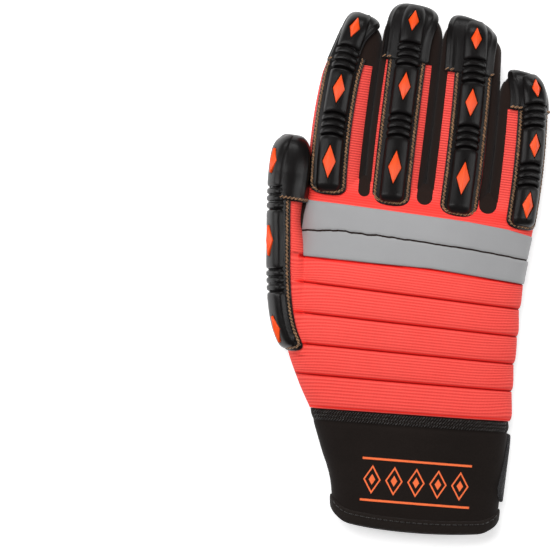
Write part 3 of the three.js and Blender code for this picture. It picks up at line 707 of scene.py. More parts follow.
def make_knit():
    """Orange-red knit with fine cross ribs that follow each panel. Shade is painted into its
    colour: the rib valleys are darker, darker still on the finger strips, and the painted shade
    value darkens the pleat folds, the line under the band and a band across the finger roots.
    """
    knit = Finish("knit", None, 0.8, **{"Specular IOR Level": 0.25})
    course = knit.attribute("course")
    fold = knit.attribute("fold")
    loops = knit.counted(0, 0.75)
    rib = knit.wave(course)
    loop = knit.wave(loops + course * 0.5)
    patchy = knit.noise(55.0, 3.0)
    thread = rib * 0.78 + loop * 0.22
    # Painted shade: the rib valleys are darker than the lit rib tops, and darker still where the
    # strip value rises on the finger strips.
    low = knit.blend(knit.attribute("strip"), (0.7, 0.036, 0.03), (0.44, 0.018, 0.018))
    lit = knit.blend(thread, low, (1.0, 0.105, 0.084))
    worn = knit.blend(patchy * 0.2, lit, (1.0, 0.15, 0.125))
    # Painted shade: saturated red on the fold flanks and the panels' lower edges, then a dark red
    # core in the folds and in the line under the band.
    shaded = knit.blend(knit.limited(fold, 0.0, 0.7), worn, (0.86, 0.022, 0.016))
    knit.color(knit.blend(knit.limited(fold, 0.7, 1.0), shaded, (0.36, 0.005, 0.004)))
    knit.bump(thread, 0.15)
    return knit.material


def make_leather(name, color, pattern):
    """Black synthetic leather: smooth, or embossed with fine diagonal ribs."""
    leather = Finish(name, None, 0.55, **{"Specular IOR Level": 0.35})
    grain = leather.noise(900.0, 4.0)
    mottle = leather.noise(60.0, 2.0)
    light = tuple(min(1, 2.3 * c) for c in color)
    if pattern:
        ribs = leather.wave(leather.counted(0, 1.6, 3.4, 0.55))
        cross = leather.wave(leather.counted(1, 1.6, 1.2, 0.55))
        raised = leather.limited(ribs * 0.75 + cross * 0.25 + grain * 0.25, 0.25, 0.95)
        leather.color(leather.blend(raised * 0.6 + mottle * 0.3, color, light))
        leather.rough(0.68 - raised * 0.2)
        leather.bump(raised + grain * 0.3, 0.3)
    else:
        leather.color(leather.blend(grain * 0.5 + mottle * 0.3, color, light))
        leather.rough(leather.noise(220.0, 3.0) * 0.25 + 0.42)
        leather.bump(grain, 0.12)
    return leather.material


def make_cloth(name, color, light, pitch, depth, roughness=0.82, sheen=0.08):
    """A smooth cloth with a fine weave."""
    gloss = {"Sheen Weight": sheen, "Sheen Roughness": 0.5, "Specular IOR Level": 0.12}
    cloth = Finish(name, None, roughness, **gloss)
    across, along = cloth.counted(0, pitch), cloth.counted(1, pitch)
    weave = cloth.wave(across + along * 0.5) * 0.5 + cloth.wave(along) * 0.5
    fibre = cloth.noise(1500.0, 3.0)
    cloud = cloth.noise(40.0, 3.0)
    cloth.color(cloth.blend(weave * 0.35 + fibre * 0.3 + cloud * 0.35, color, light))
    cloth.bump(weave + fibre * 0.6, depth)
    return cloth.material


def make_rubber(name, color, light, roughness, gloss):
    """Moulded rubber with a faint skin and rubbed places."""
    rubber = Finish(name, None, roughness, **{"Specular IOR Level": gloss})
    skin = rubber.noise(1400.0, 4.0)
    smudge = rubber.noise(70.0, 4.0)
    rubber.color(rubber.blend(smudge, color, light))
    rubber.rough(smudge * 0.18 + (roughness - 0.09))
    rubber.bump(skin, 0.05)
    return rubber.material


def make_thread(name, dark, light):
    """Twisted thread of two shades."""
    thread = Finish(name, None, 0.5, **{"Sheen Weight": 0.2})
    twist = thread.wave(thread.counted(0, 0.7, turn=0.8))
    shade = thread.noise(420.0, 2.0)
    thread.color(thread.blend(thread.limited(twist * 0.5 + shade * 0.8, 0.42, 0.95), dark, light))
    thread.bump(twist, 0.15)
    return thread.material


def make_reflective():
    """Silver grey reflective tape: fine weave under a soft metallic sheen."""
    tape = Finish("reflective", None, 0.42)
    weave = tape.wave(tape.counted(0, 0.5)) * 0.5 + tape.wave(tape.counted(1, 0.5)) * 0.5
    cloud = tape.noise(30.0, 4.0)
    tape.color(tape.blend(weave * 0.15 + cloud * 0.6, (0.27, 0.27, 0.275), (0.36, 0.36, 0.365)))
    tape.rough(cloud * 0.15 + 0.36)
    tape.bump(weave, 0.06)
    return tape.material


def make_neoprene():
    """Dark cuff cloth, with a printed row of outlined lozenges between two thin lines."""
    gloss = {"Sheen Weight": 0.06, "Sheen Roughness": 0.5, "Specular IOR Level": 0.12}
    cuff = Finish("neoprene", None, 0.8, **gloss)
    across = cuff.attribute("print_x")
    along = cuff.attribute("print_y")
    fibre = cuff.noise(1300.0, 3.0)
    cloud = cuff.noise(35.0, 3.0)
    half_width, half_height = LOZENGE_HALF
    cell = (across / LOZENGE_PITCH + 0.5).math("FRACT") - 0.5
    spread = cell.math("ABSOLUTE") * LOZENGE_PITCH / half_width
    spread = spread + along.math("ABSOLUTE") / half_height
    ring = 1 - cuff.limited((spread - 0.86).math("ABSOLUTE"), 0.075, 0.11)
    heart = 1 - cuff.limited(spread, 0.34, 0.38)
    rail = 1 - cuff.limited((along.math("ABSOLUTE") - PRINT_LINE).math("ABSOLUTE"), 0.5, 0.62)
    inside = 1 - cuff.limited(across.math("ABSOLUTE"), PRINT_HALF, PRINT_HALF + 0.3)
    ink = ring.math("MAXIMUM", heart).math("MAXIMUM", rail) * inside
    ink = ink * cuff.limited(fibre, 0.28, 0.42, 0.72, 1.0)
    cloth = cuff.blend(fibre * 0.4 + cloud * 0.4, (0.005, 0.0036, 0.003), (0.02, 0.0145, 0.0125))
    cuff.color(cuff.blend(ink, cloth, (0.9, 0.17, 0.055)))
    cuff.rough(0.85 - ink * 0.25)
    cuff.bump(fibre + ink * 0.5, 0.12)
    return cuff.material


KNIT = make_knit()
PALM = make_leather("palm_leather", (0.010, 0.010, 0.0105), False)
PATCH = make_leather("patch_leather", (0.013, 0.0135, 0.014), True)
STRETCH = make_cloth("stretch", (0.009, 0.0055, 0.0045), (0.026, 0.0155, 0.0125), 0.45, 0.05)
REFLECTIVE = make_reflective()
RUBBER = make_rubber("guard_rubber", (0.003, 0.0025, 0.0025), (0.007, 0.006, 0.006), 0.32, 0.34)
ORANGE = make_rubber("inlay_rubber", (0.84, 0.066, 0.006), (0.9, 0.088, 0.012), 0.36, 0.5)
NEOPRENE = make_neoprene()
TAPE = make_cloth("tape", (0.005, 0.0038, 0.0032), (0.022, 0.0165, 0.014), 0.7, 0.14)
LOOP = make_cloth("loop", (0.008, 0.008, 0.0085), (0.06, 0.058, 0.06), 0.9, 0.4, 0.95, 0.15)
GOLD_THREAD = make_thread("guard_thread", (0.018, 0.009, 0.006), (0.46, 0.24, 0.11))
ORANGE_THREAD = make_thread("palm_thread", (0.35, 0.09, 0.012), (0.72, 0.27, 0.06))
DARK_THREAD = make_thread("seam_thread", (0.005, 0.0045, 0.004), (0.03, 0.026, 0.023))


# The hand


def pleat_places(fine):
    """Places along the hand and the swell of the pleats there, closer together at the folds."""
    places, swells = [], []
    for low, high in zip(FOLDS[:-1], FOLDS[1:]):
        t = (1 - np.cos(math.pi * np.arange(fine) / fine)) / 2
        places.append(low + t * (high - low))
        swells.append(PLEAT_DEPTH * (1 - (1 - t) ** 9) * (1 - 0.6 * t**1.6))
    rest = np.arange(FOLDS[-1], 1.12, 0.9 / HAND_LENGTH)
    places.append(np.append(rest, 1.12))
    swells.append(np.zeros(len(rest) + 1))
    return np.concatenate(places), np.concatenate(swells)


def hand_form(offset, pleated, sides):
    if pleated:
        at, puff = pleat_places(20)
    else:
        first = 3 * offset / HAND_LENGTH if offset < 0 else 0.0
        at = np.append(np.linspace(first, 1.09, 60), 1.12)
        puff = np.zeros(len(at))
    section = grown(hand_sections(np.maximum(at, 0), puff), offset)
    section["y"] = HAND_LENGTH * (at - 1) + np.where(at > 1.0, offset, 0)
    return tube(ring_points(section, round_turns(sides)))


def finger_form(k, offset, sides, step, spread):
    y = to_tip(-FINGER_SINK, finger_tip(k), TIP_ROUND, step)
    section = grown(finger_sections(k, y), offset)
    section["left"] = section["left"] - spread
    section["right"] = section["right"] + spread
    rounding = clamped((y - finger_tip(k) + TIP_ROUND) / TIP_ROUND)
    section["y"] = section["y"] + offset * rounding
    return tube(ring_points(section, round_turns(sides)))


def thumb_form(offset, sides, step):
    start = thumb_y(0)
    y = to_tip(start, thumb_y(1), THUMB_ROUND, step)
    section = grown(thumb_sections(y), offset)
    section["y"] = y + offset * clamped((y - start) / THUMB_LENGTH * 2 - 1)
    return tube(ring_points(section, round_turns(sides)))


def whole_hand(name, offset, pleated, hand_sides, finger_sides, step, spread=0.0):
    """Hand, fingers and thumb as one closed form, smoothed where the thumb leaves the hand."""
    body = solid(name, *hand_form(offset, pleated, hand_sides))
    limbs = [finger_form(k, offset, finger_sides, step, spread) for k in range(4)]
    limbs.append(thumb_form(offset, finger_sides, step))
    for points, faces in limbs:
        cut(body, solid("limb", points, faces), "UNION")
    x, y, z = vertex_places(body).T
    pick(body, "VERT", (x > -61) & (x < -46) & (y > -78) & (y < -33) & (z > 12.5))
    with EditMode():
        bpy.ops.mesh.vertices_smooth(factor=0.5, repeat=14)
    return body


def fourchette_outline(k, grow):
    """Plan of the side walls between two fingers."""
    half = FOURCHETTE_WIDTHS[k] / 2 + grow
    foot = 1.6 - grow
    ends = [finger_tip(k), finger_tip(k + 1)]
    near = min(ends) - TIP_ROUND
    points = []
    for turn in np.linspace(math.pi, 2 * math.pi, 15):
        y = foot + half + half * math.sin(turn)
        points.append((float(finger_line(k + 1, y)) + half * math.cos(turn), y))
    for y in np.linspace(foot + half, near, 9)[1:]:
        points.append((float(finger_line(k + 1, y)) + half, y))

    def inset(side, y):
        section = finger_sections(side, np.array([y]))
        return float(section["right"][0] - half if side == k else section["left"][0] + half)

    right_end = ends[1] - 0.3 * TIP_ROUND + grow
    left_end = ends[0] - 0.3 * TIP_ROUND + grow
    for y in np.linspace(near, right_end, 6)[1:]:
        points.append((inset(k + 1, y), y))
    points.append((float(finger_line(k + 1, right_end)), right_end))
    points.append((float(finger_line(k + 1, left_end)), left_end))
    for y in np.linspace(left_end, near, 6)[:-1]:
        points.append((inset(k, y), y))
    for y in np.linspace(near, foot + half, 9)[:-1]:
        points.append((float(finger_line(k + 1, y)) - half, y))
    clean = [points[0]]
    for point in points[1:]:
        if math.dist(point, clean[-1]) > 0.05:
            clean.append(point)
    return clean


# The knuckle band's lower edge: places across, and their places along
BAND_HEM = ([BAND_LEFT, -20, 10, BAND_RIGHT], [-31.9, -30.7, -29.4, -30.6])


def knit_values(places):
    """Rib courses, and the painted shade of the pleat folds, of the panels' lower edges and of the
    line under the band, at points of the back; the same value also darkens a band across the finger
    roots.
    """
    x, y = places[:, 0], places[:, 1]
    at = 1 + y / HAND_LENGTH
    for _ in range(3):
        slope = SEAM_SLOPE * np.maximum(0, 1 - at / FOLDS[-1])
        at = 1 + (y - slope * x) / HAND_LENGTH
    i = np.clip(np.searchsorted(FOLDS, at) - 1, 0, len(FOLDS) - 2)
    t = (at - FOLDS[i]) / (FOLDS[i + 1] - FOLDS[i])
    left = clamped((-30 - x) / 26)
    right = clamped((x - 35) / 22)
    bend = t * (1 - t) * (0.75 * left**2 - 0.5 * right**2)
    pleats = i * PLEAT_ROWS + (t + bend) * PLEAT_ROWS
    course = np.where(at < FOLDS[-1], pleats, y / KNIT_PITCH)
    span = (FOLDS[i + 1] - FOLDS[i]) * HAND_LENGTH
    above, below = t * span, (1 - t) * span
    # Painted shade: a dark line at each fold and a softer darkening over each panel's lower edge.
    line = np.maximum(clamped(1.9 - above / 0.75), clamped(1 - below / 0.3))
    shade = np.maximum(line, 0.32 * clamped(1 - above / 4.5) ** 2)
    inside = clamped((x + 57.5 + 38 * clamped(0.3 - at)) / 4)
    fold = np.where(at < FOLDS[-1] - 0.01, shade * inside, 0)
    # Painted shadow: a dark line on the knit just below the band's lower edge.
    hem = np.interp(x, *BAND_HEM) - y
    band_shadow = (hem > -1.5) & (hem < 1.5) & (x > -56.2)
    fold = np.where(band_shadow, clamped(2.0 - np.maximum(hem, 0) / 0.7), fold)
    # A darker, more saturated band across the finger roots.
    fold = np.maximum(fold, 0.34 * clamped(1.2 - np.abs(y - 0.5) / 6.5))
    return course, np.where(at < 0.004, 0, fold)


def make_hand():
    """The knit back, the palm and the side walls between the fingers."""
    outer = whole_hand("palm_fabric", 0.0, True, 260, 84, 0.9)
    lining = whole_hand("lining", -FABRIC, False, 90, 36, 2.5)
    shell = cut(outer, copy_of(lining, "lining_copy"), "DIFFERENCE")
    back = half_of(copy_of(shell, "back_fabric"), SEAM_HEIGHT + SIDE_SEAM / 2, True)
    palm = half_of(shell, SEAM_HEIGHT - SIDE_SEAM / 2, False)
    walls = whole_hand("side_walls", -SIDE_SEAM, False, 130, 72, 1.1, 0.62)
    cut(walls, lining, "DIFFERENCE")
    names = ("index_middle", "middle_ring", "ring_little")
    for k, name in enumerate(names):
        space = prism("space", fourchette_outline(k, 0.0), -5, 60)
        cut(back, copy_of(space, "space_back"), "DIFFERENCE")
        cut(palm, space, "DIFFERENCE")
        wall = copy_of(walls, "side_wall_" + name)
        cut(wall, prism("space", fourchette_outline(k, 0.25), -5, 60), "INTERSECT")
        finish_piece(wall, STRETCH, ["fourchette_" + name], angle=40)
    bpy.data.objects.remove(walls)
    return back, palm


def blacken_tips(back):
    """The knit ends under the caps: beyond that line a fingertip is black."""
    limits = [(finger_line(k, 60), finger_line(k + 1, 60), FINGERS[k]["knit"]) for k in range(4)]
    back.data.materials.append(STRETCH)
    mesh = back.data
    middles = np.zeros(len(mesh.polygons) * 3, np.float32)
    mesh.polygons.foreach_get("center", middles)
    middles = middles.reshape(-1, 3) / MILLIMETRE - SHIFT
    x, y = middles[:, 0], middles[:, 1]
    black = np.zeros(len(x), bool)
    for left, right, line in limits:
        black |= (x > left) & (x < right) & (y > line)
    black |= (x < -58.4) & (y > THUMB_KNIT)
    slots = np.zeros(len(mesh.polygons), np.int32)
    slots[black] = 1
    mesh.polygons.foreach_set("material_index", slots)


back, palm = make_hand()
# Rib courses and painted shade for the knit's colour.
course, fold = knit_values(vertex_places(back))
add_values(back, "course", course)
add_values(back, "fold", fold)
# Painted shade: the strip value darkens the rib valleys on the finger strips.
add_values(back, "strip", clamped((vertex_places(back)[:, 1] - 6) / 14))
finish_piece(back, KNIT, ["back_panel"], angle=50)
blacken_tips(back)
finish_piece(palm, PALM, ["palm_panel"], angle=40)


# Sewn trims


def smooth_ring(points, step):
    """A smooth closed line through plan points, with equal steps."""
    points = np.asarray(points, float)
    wrapped = np.concatenate([points[-1:], points, points[:2]])
    t = np.linspace(0, 1, 24, endpoint=False)[:, None]
    line = []
    for i in range(len(points)):
        a, b, c, d = wrapped[i : i + 4]
        square, cube = 2 * a - 5 * b + 4 * c - d, 3 * b - a - 3 * c + d
        line.append(0.5 * (2 * b + (c - a) * t + square * t**2 + cube * t**3))
    line.append(points[:1])
    return even(np.concatenate(line), step)


def lengths_along(line):
    """The length of a line up to each of its points."""
    return np.concatenate([[0], np.cumsum(np.linalg.norm(np.diff(line, axis=0), axis=1))])


def even(line, step):
    """The same line with equal steps."""
    lengths = lengths_along(line)
    count = max(2, int(round(lengths[-1] / step)) + 1)
    return blended(np.linspace(0, lengths[-1], count), lengths, line)


def left_of(along):
    """Plan directions, each a quarter turn to the left."""
    return np.stack([-along[:, 1], along[:, 0]], 1)


def inward(path):
    """Unit directions to the left of a plan path."""
    return left_of(unit(np.gradient(path, axis=0)))


def swept(name, path, profile, place):
    """A strip whose profile (inward distance, height) follows a path on a surface."""
    profile = np.asarray(profile, float)
    spots = path[:, None, :] + inward(path)[:, None, :] * profile[None, :, :1]
    points, normals = place(spots[..., 0], spots[..., 1])
    return solid(name, *tube(points + normals * profile[None, :, 1:2]))


def stitch_form():
    """Points and faces of one stitch lying along x, STITCH_LENGTH long and one unit thick."""
    bpy.ops.object.select_all(action="DESELECT")
    size = {"vertices": 6, "radius": 0.5, "depth": STITCH_LENGTH}
    bpy.ops.mesh.primitive_cylinder_add(**size, rotation=(0, math.pi / 2, 0))
    piece = bpy.context.object
    bpy.ops.object.transform_apply(location=True, rotation=True, scale=True)
    pick(piece, "FACE", [abs(face.normal.x) > 0.9 for face in piece.data.polygons])
    with EditMode():
        bpy.ops.mesh.bevel(offset=0.2, segments=1)
    points = np.array([vertex.co[:] for vertex in piece.data.vertices])
    faces = [list(face.vertices) for face in piece.data.polygons]
    bpy.data.objects.remove(piece)
    return points, faces


STITCH_POINTS, STITCH_FACES = stitch_form()


def stitches(name, lines, length, gap, thick, twist=0.0, lift=0.35):
    """Stitches along lines of points with their normals, as one object."""
    points, faces = [], []
    for spots, normals in lines:
        run = lengths_along(spots)
        count = max(1, int(run[-1] / (length + gap)))
        middles = (np.arange(count) + 0.5) * run[-1] / count
        at = blended(middles, run, spots)
        up = unit(blended(middles, run, normals), 0)
        ahead, behind = (blended(middles + away, run, spots) for away in (0.4, -0.4))
        along = unit(ahead - behind)
        side = np.cross(up, along)
        turn = twist + rng.uniform(-0.05, 0.05, count)
        forward = along * np.cos(turn)[:, None] + side * np.sin(turn)[:, None]
        side = np.cross(up, forward)
        size = thick * rng.uniform(0.92, 1.08, count)
        for i in range(count):
            form = (
                at[i]
                + up[i] * lift * thick
                + STITCH_POINTS[:, :1] * forward[i] * (length / STITCH_LENGTH)
                + STITCH_POINTS[:, 1:2] * side[i] * size[i]
                + STITCH_POINTS[:, 2:3] * up[i] * size[i]
            )
            first = len(points) * len(STITCH_POINTS)
            points.append(form)
            faces += [[first + v for v in face] for face in STITCH_FACES]
    return shape(name, np.concatenate(points), faces)


# Guards


def ridge_places(start, end, ribs):
    """Places along a ridge, close together at its ribs and its ends."""
    places = [start]
    while places[-1] < end - 0.05:
        y = places[-1]
        ribbed = min(abs(y - middle) for middle in ribs) < 2.1 * RIB_PITCH
        places.append(y + (0.18 if ribbed or min(y - start, end - y) < 4 else 0.5))
    places[-1] = end
    return np.array(places)


def ribbing(y, ribs):
    """Grooves, and the swell of the ribs between them, from 0 to 1 at places along a ridge."""
    sunk, swell = np.zeros(len(y)), np.zeros(len(y))
    for middle in ribs:
        away = (y - middle) / RIB_PITCH
        for g in range(4):
            near = np.abs(away - (g - 1.5)) * RIB_PITCH
            sunk = np.maximum(sunk, clamped(1 - (near / 0.66) ** 2) ** 0.5)
        rest = np.abs(away - np.round(away))
        swell = np.where(np.abs(away) < 1.5, 1 - (2 * rest) ** 2, swell)
    return sunk, swell


def ridge_form(skin, start, end, ribs, height, bow, veer):
    """The half-round ridge, with rings that bend towards the wrist at its sides."""
    y = ridge_places(start, end, ribs)
    held = np.minimum(y, end - 2.6)
    spine, out = skin.at(veer * clamped((y - end + 33) / 23), held)
    spine = spine + (y - held)[:, None] * np.array([0, 1.0, 0])
    ahead = unit(np.gradient(spine, y, axis=0), 0)
    even_y = np.linspace(start, end, 160)
    padded = [np.pad(line, 5, "edge") for line in blended(even_y, y, out).T]
    smoothed = [np.convolve(line, np.ones(11) / 11, "valid") for line in padded]
    out = blended(y, even_y, np.stack(smoothed, 1))
    side = unit(np.cross(ahead, out), 0)
    out = np.cross(side, ahead)
    foot = quarter_round(clamped((y - start) / 4.6))
    tip = quarter_round(clamped((end - y) / 9))
    share = (0.25 + 0.75 * foot) * (0.12 + 0.88 * tip)
    sunk, swell = ribbing(y, ribs)
    depth = height / RIDGE_HEIGHT if bow else 0.55
    ribbed = np.zeros(len(y))
    shoulder = np.zeros(len(y))
    for middle in ribs:
        reach = np.abs(y - middle) - 1.5 * RIB_PITCH
        ribbed = np.maximum(ribbed, clamped(1 - np.maximum(reach, 0) / 1.2))
        beside = np.where(reach > 0, clamped(1 - reach / 3.2) ** 2.5, 0)
        shoulder = np.maximum(shoulder, beside)
    wide = RIDGE_WIDTH / 2 * (0.45 + 0.55 * share) * (1 - 0.05 * shoulder)
    wide = wide + 0.4 * swell - 0.3 * ribbed - 0.4 * depth * sunk
    tall = height * share * (1 - 0.16 * shoulder) - 0.45 * ribbed + 0.35 * swell
    tall = np.maximum(tall - 1.3 * depth * sunk, 0.2)
    turns = np.linspace(0, math.pi, 29)
    across = np.concatenate([[1.0], signed_power(np.cos(turns), 0.82), [-1.0]])
    high = np.concatenate([[-0.75], np.sin(turns) ** 0.8, [-0.75]])
    bend = bow * clamped(np.minimum(y - start, end - y) / 10)
    places = y[:, None] - bend[:, None] * across**2
    rings = blended(places, y, spine)
    rings = rings + blended(places, y, side) * (wide[:, None] * across)[..., None]
    rings = rings + blended(places, y, out) * (tall[:, None] * high)[..., None]
    return solid("ridge", *tube(rings)), (y, spine, side, out, RIDGE_HEIGHT * share)


def lozenge_form(name, spot, length, width, low, top, crest):
    """A lozenge on a spot (middle, ahead, side, out), with upright sides and a crest."""
    bpy.ops.object.select_all(action="DESELECT")
    bpy.ops.mesh.primitive_cylinder_add(vertices=4, radius=0.5, depth=1, location=(0, 0, 0))
    piece = bpy.context.object
    piece.name = name
    pick(piece, "FACE", [face.normal.z > 0.9 for face in piece.data.polygons])
    with EditMode():
        bpy.ops.mesh.poke()
    middle, ahead, side, out = spot
    for vertex in piece.data.vertices:
        x, y, z = vertex.co
        v, u = x * width, y * length
        if z < 0:
            w = low
        elif math.hypot(x, y) < 0.1:
            w = crest
        else:
            w = top if abs(x) > 0.3 else 0.55 * crest + 0.45 * top
        vertex.co = (middle + u * ahead + v * side + w * out + SHIFT) * MILLIMETRE
    return outwards(piece)


def round_edges(piece):
    choose(piece)
    modifier = piece.modifiers.new("round", "BEVEL")
    modifier.width = 0.2 * MILLIMETRE
    modifier.segments = 2
    modifier.limit_method = "ANGLE"
    modifier.angle_limit = math.radians(30)
    bpy.ops.object.modifier_apply(modifier="round")


def let_in(name, ridge, spine_data, places, sizes):
    """Cuts the pockets and makes the inlays of one guard."""
    y, spine, side, out, tall = spine_data
    crest = spine + out * tall[:, None]
    for number, (place, size) in enumerate(zip(places, sizes), 1):
        length, width = INLAY_LENGTH * size, INLAY_WIDTH * (0.5 + 0.5 * size)
        front, rear = (blended(place + away * length, y, crest) for away in (0.3, -0.3))
        ahead = unit(front - rear, 0)
        up = unit(np.cross(blended(place, y, side), ahead), 0)
        spot = ((front + rear) / 2, ahead, np.cross(ahead, up), up)
        pocket = lozenge_form("pocket", spot, length + 1.8, width + 0.9, -1.5, 6.0, 6.0)
        cut(ridge, pocket, "DIFFERENCE")
        inlay = lozenge_form(f"lozenge_{name}_{number}", spot, length, width, -1.6, -0.75, 0.95)
        round_edges(inlay)
        finish_piece(inlay, ORANGE, [f"inlay_{name}_{number}"], angle=25)


def slab(name, inner, outer):
    """A closed sheet between two grids of points."""
    rows, columns = inner.shape[:2]
    points = np.concatenate([inner.reshape(-1, 3), outer.reshape(-1, 3)])
    count = rows * columns
    index = np.arange(count).reshape(rows, columns)
    faces = grid_faces(rows, columns)[:, ::-1].tolist()
    faces += grid_faces(rows, columns, first=count).tolist()
    for line in (index[0], index[:, -1], index[-1][::-1], index[:, 0][::-1]):
        for a, b in zip(line[:-1], line[1:]):
            faces.append([a, b, b + count, a + count])
    return solid(name, points, faces)


def cap_form(sections, low, tip, edge_right, edge_left):
    """The part of a guard that goes over the fingertip, with a soft edge down each side."""
    y = to_tip(low, tip, CAP_ROUND, 0.7, 26)
    share = clamped((y - low) / (tip - low))
    right = np.radians(edge_right * (1 - share**4) + 2)
    left = np.radians(edge_left + (178 - edge_left) * share**4)
    t = np.linspace(0, 1, 61)
    turns = right[:, None] + (left - right)[:, None] * t
    facet = np.maximum(np.exp(-((t - 0.2) / 0.045) ** 2), np.exp(-((t - 0.8) / 0.045) ** 2))
    bulge = 0.2 * facet * clamped(share * 8)[:, None] * clamped((1 - share) * 5)[:, None]
    skins = []
    for offset in (0.15, CAP_THICKNESS):
        ring = ring_points(grown(sections(y), offset), turns)
        ring[..., 1] += offset * clamped(share * 1.2 - 0.2)[:, None] ** 2
        skins.append(ring)
    inner, outer = skins
    rim = np.minimum(np.minimum(t, 1 - t) * 20, 1)[None, :]
    rim = rim * np.minimum((y - low)[:, None] / 0.9 + 0.35, 1)
    lift = 0.45 + 0.55 * quarter_round(rim) + bulge
    return slab("cap", inner, inner + (outer - inner) * lift[..., None])


def flange_path(low, high, left, right):
    """U-shaped plan of a flange: down its left side, round its foot and up its right side."""
    centre, radius = (left + right) / 2, (right - left) / 2
    rounding = 0.62 * radius
    points = [(left, y) for y in np.linspace(high, low + rounding, 12)]
    for turn in np.linspace(math.pi, 2 * math.pi, 19)[1:-1]:
        reach = abs(math.cos(turn)) ** 0.75 * (1 if math.cos(turn) > 0 else -1)
        drop = abs(math.sin(turn)) ** 0.75
        points.append((centre + radius * reach, low + rounding * (1 - drop)))
    points += [(right, y) for y in np.linspace(low + rounding, high, 12)]
    return even(np.array(points), 0.7)


# The flange's profile: a rounded rim, the groove of the stitches, and the flat up to the ridge
FLANGE_PROFILE = [
    (0.0, -0.4), (0.0, 0.85), (0.12, 1.2), (0.45, FLANGE_THICKNESS), (0.85, FLANGE_THICKNESS),
    (1.15, 0.95), (1.9, 0.95), (2.2, FLANGE_THICKNESS), (3.0, FLANGE_THICKNESS), (5.6, 1.35),
    (5.6, -0.4),
]
STITCH_INSET, STITCH_HEIGHT = 1.52, 0.95


def make_guard(
    name, skin, sections, start, end, length, foot, edges, knit, cap_edges, angle,
    height, bow, veer,
):
    """Ridge, flange, cap, inlays and stitches of one guard."""
    places = GUARD_PLACES[name]
    ribs, inlays = (
        [end - length + share * length for share in places[key]] for key in ("ribs", "inlays")
    )
    ridge, spine_data = ridge_form(skin, start, end + CAP_THICKNESS - 0.6, ribs, height, bow, veer)
    let_in(name, ridge, spine_data, inlays, places["sizes"])
    path = flange_path(foot, knit + 3, *edges)
    flange = swept("flange", path, FLANGE_PROFILE, skin.at)
    cap = cap_form(sections, knit, end, *cap_edges)
    guard = joined([ridge, flange, cap], "rubber_" + name)
    finish_piece(guard, RUBBER, ["guard_" + name], angle=42)
    line = path + inward(path) * STITCH_INSET
    spots, normals = skin.at(line[:, 0], line[:, 1])
    lines = [(spots + normals * STITCH_HEIGHT, normals)]
    # Stitches along the cap's edge, on the flanks beside the ridge where there is room
    section = sections(np.array([knit + 1.3]))
    for high, low in ((cap_edges[1] - 4, angle + 27), (angle - 27, cap_edges[0] + 4)):
        if high - low < 6:
            continue
        turns = np.radians(np.linspace(high, low, 60))
        rim = ring_points(grown(section, CAP_THICKNESS * 0.93), turns)[0]
        lines.append((rim, unit(rim - ring_points(section, turns)[0], 0)))
    thread = stitches("guard_stitches_" + name, lines, 2.2, -0.35, 1.12, twist=0.5)
    finish_piece(thread, GOLD_THREAD)


for k, finger in enumerate(FINGERS):
    tip = finger_tip(k)
    places = np.append(np.arange(-FINGER_SINK, tip - 1.0, 0.5), tip - 0.8)
    sections = lambda y, k=k: finger_sections(k, y)
    skin = Skin(sections, places, finger["angle"])
    foot = finger["foot"] * FLANGE_WIDTH
    edges = (finger["from"] * FLANGE_WIDTH, finger["to"] * FLANGE_WIDTH)
    make_guard(
        finger["name"], skin, sections, foot + 1.6, tip, tip, foot, edges, finger["knit"],
        finger["cap"], finger["angle"], RIDGE_HEIGHT, RIB_BOW, finger["veer"],
    )

thumb_start, thumb_tip = thumb_y(0.03), thumb_y(1)
thumb_skin = Skin(thumb_sections, np.arange(thumb_y(0), thumb_tip - 0.8, 0.5), THUMB_ANGLE)
make_guard(
    "thumb", thumb_skin, thumb_sections, thumb_start, thumb_tip, thumb_tip - thumb_start,
    thumb_start - 1.5, (-8.8, 0.45 * FLANGE_WIDTH), THUMB_KNIT, (8, 172), THUMB_ANGLE,
    THUMB_RIDGE, 0.0, 0.0,
)


# Band across the knuckles


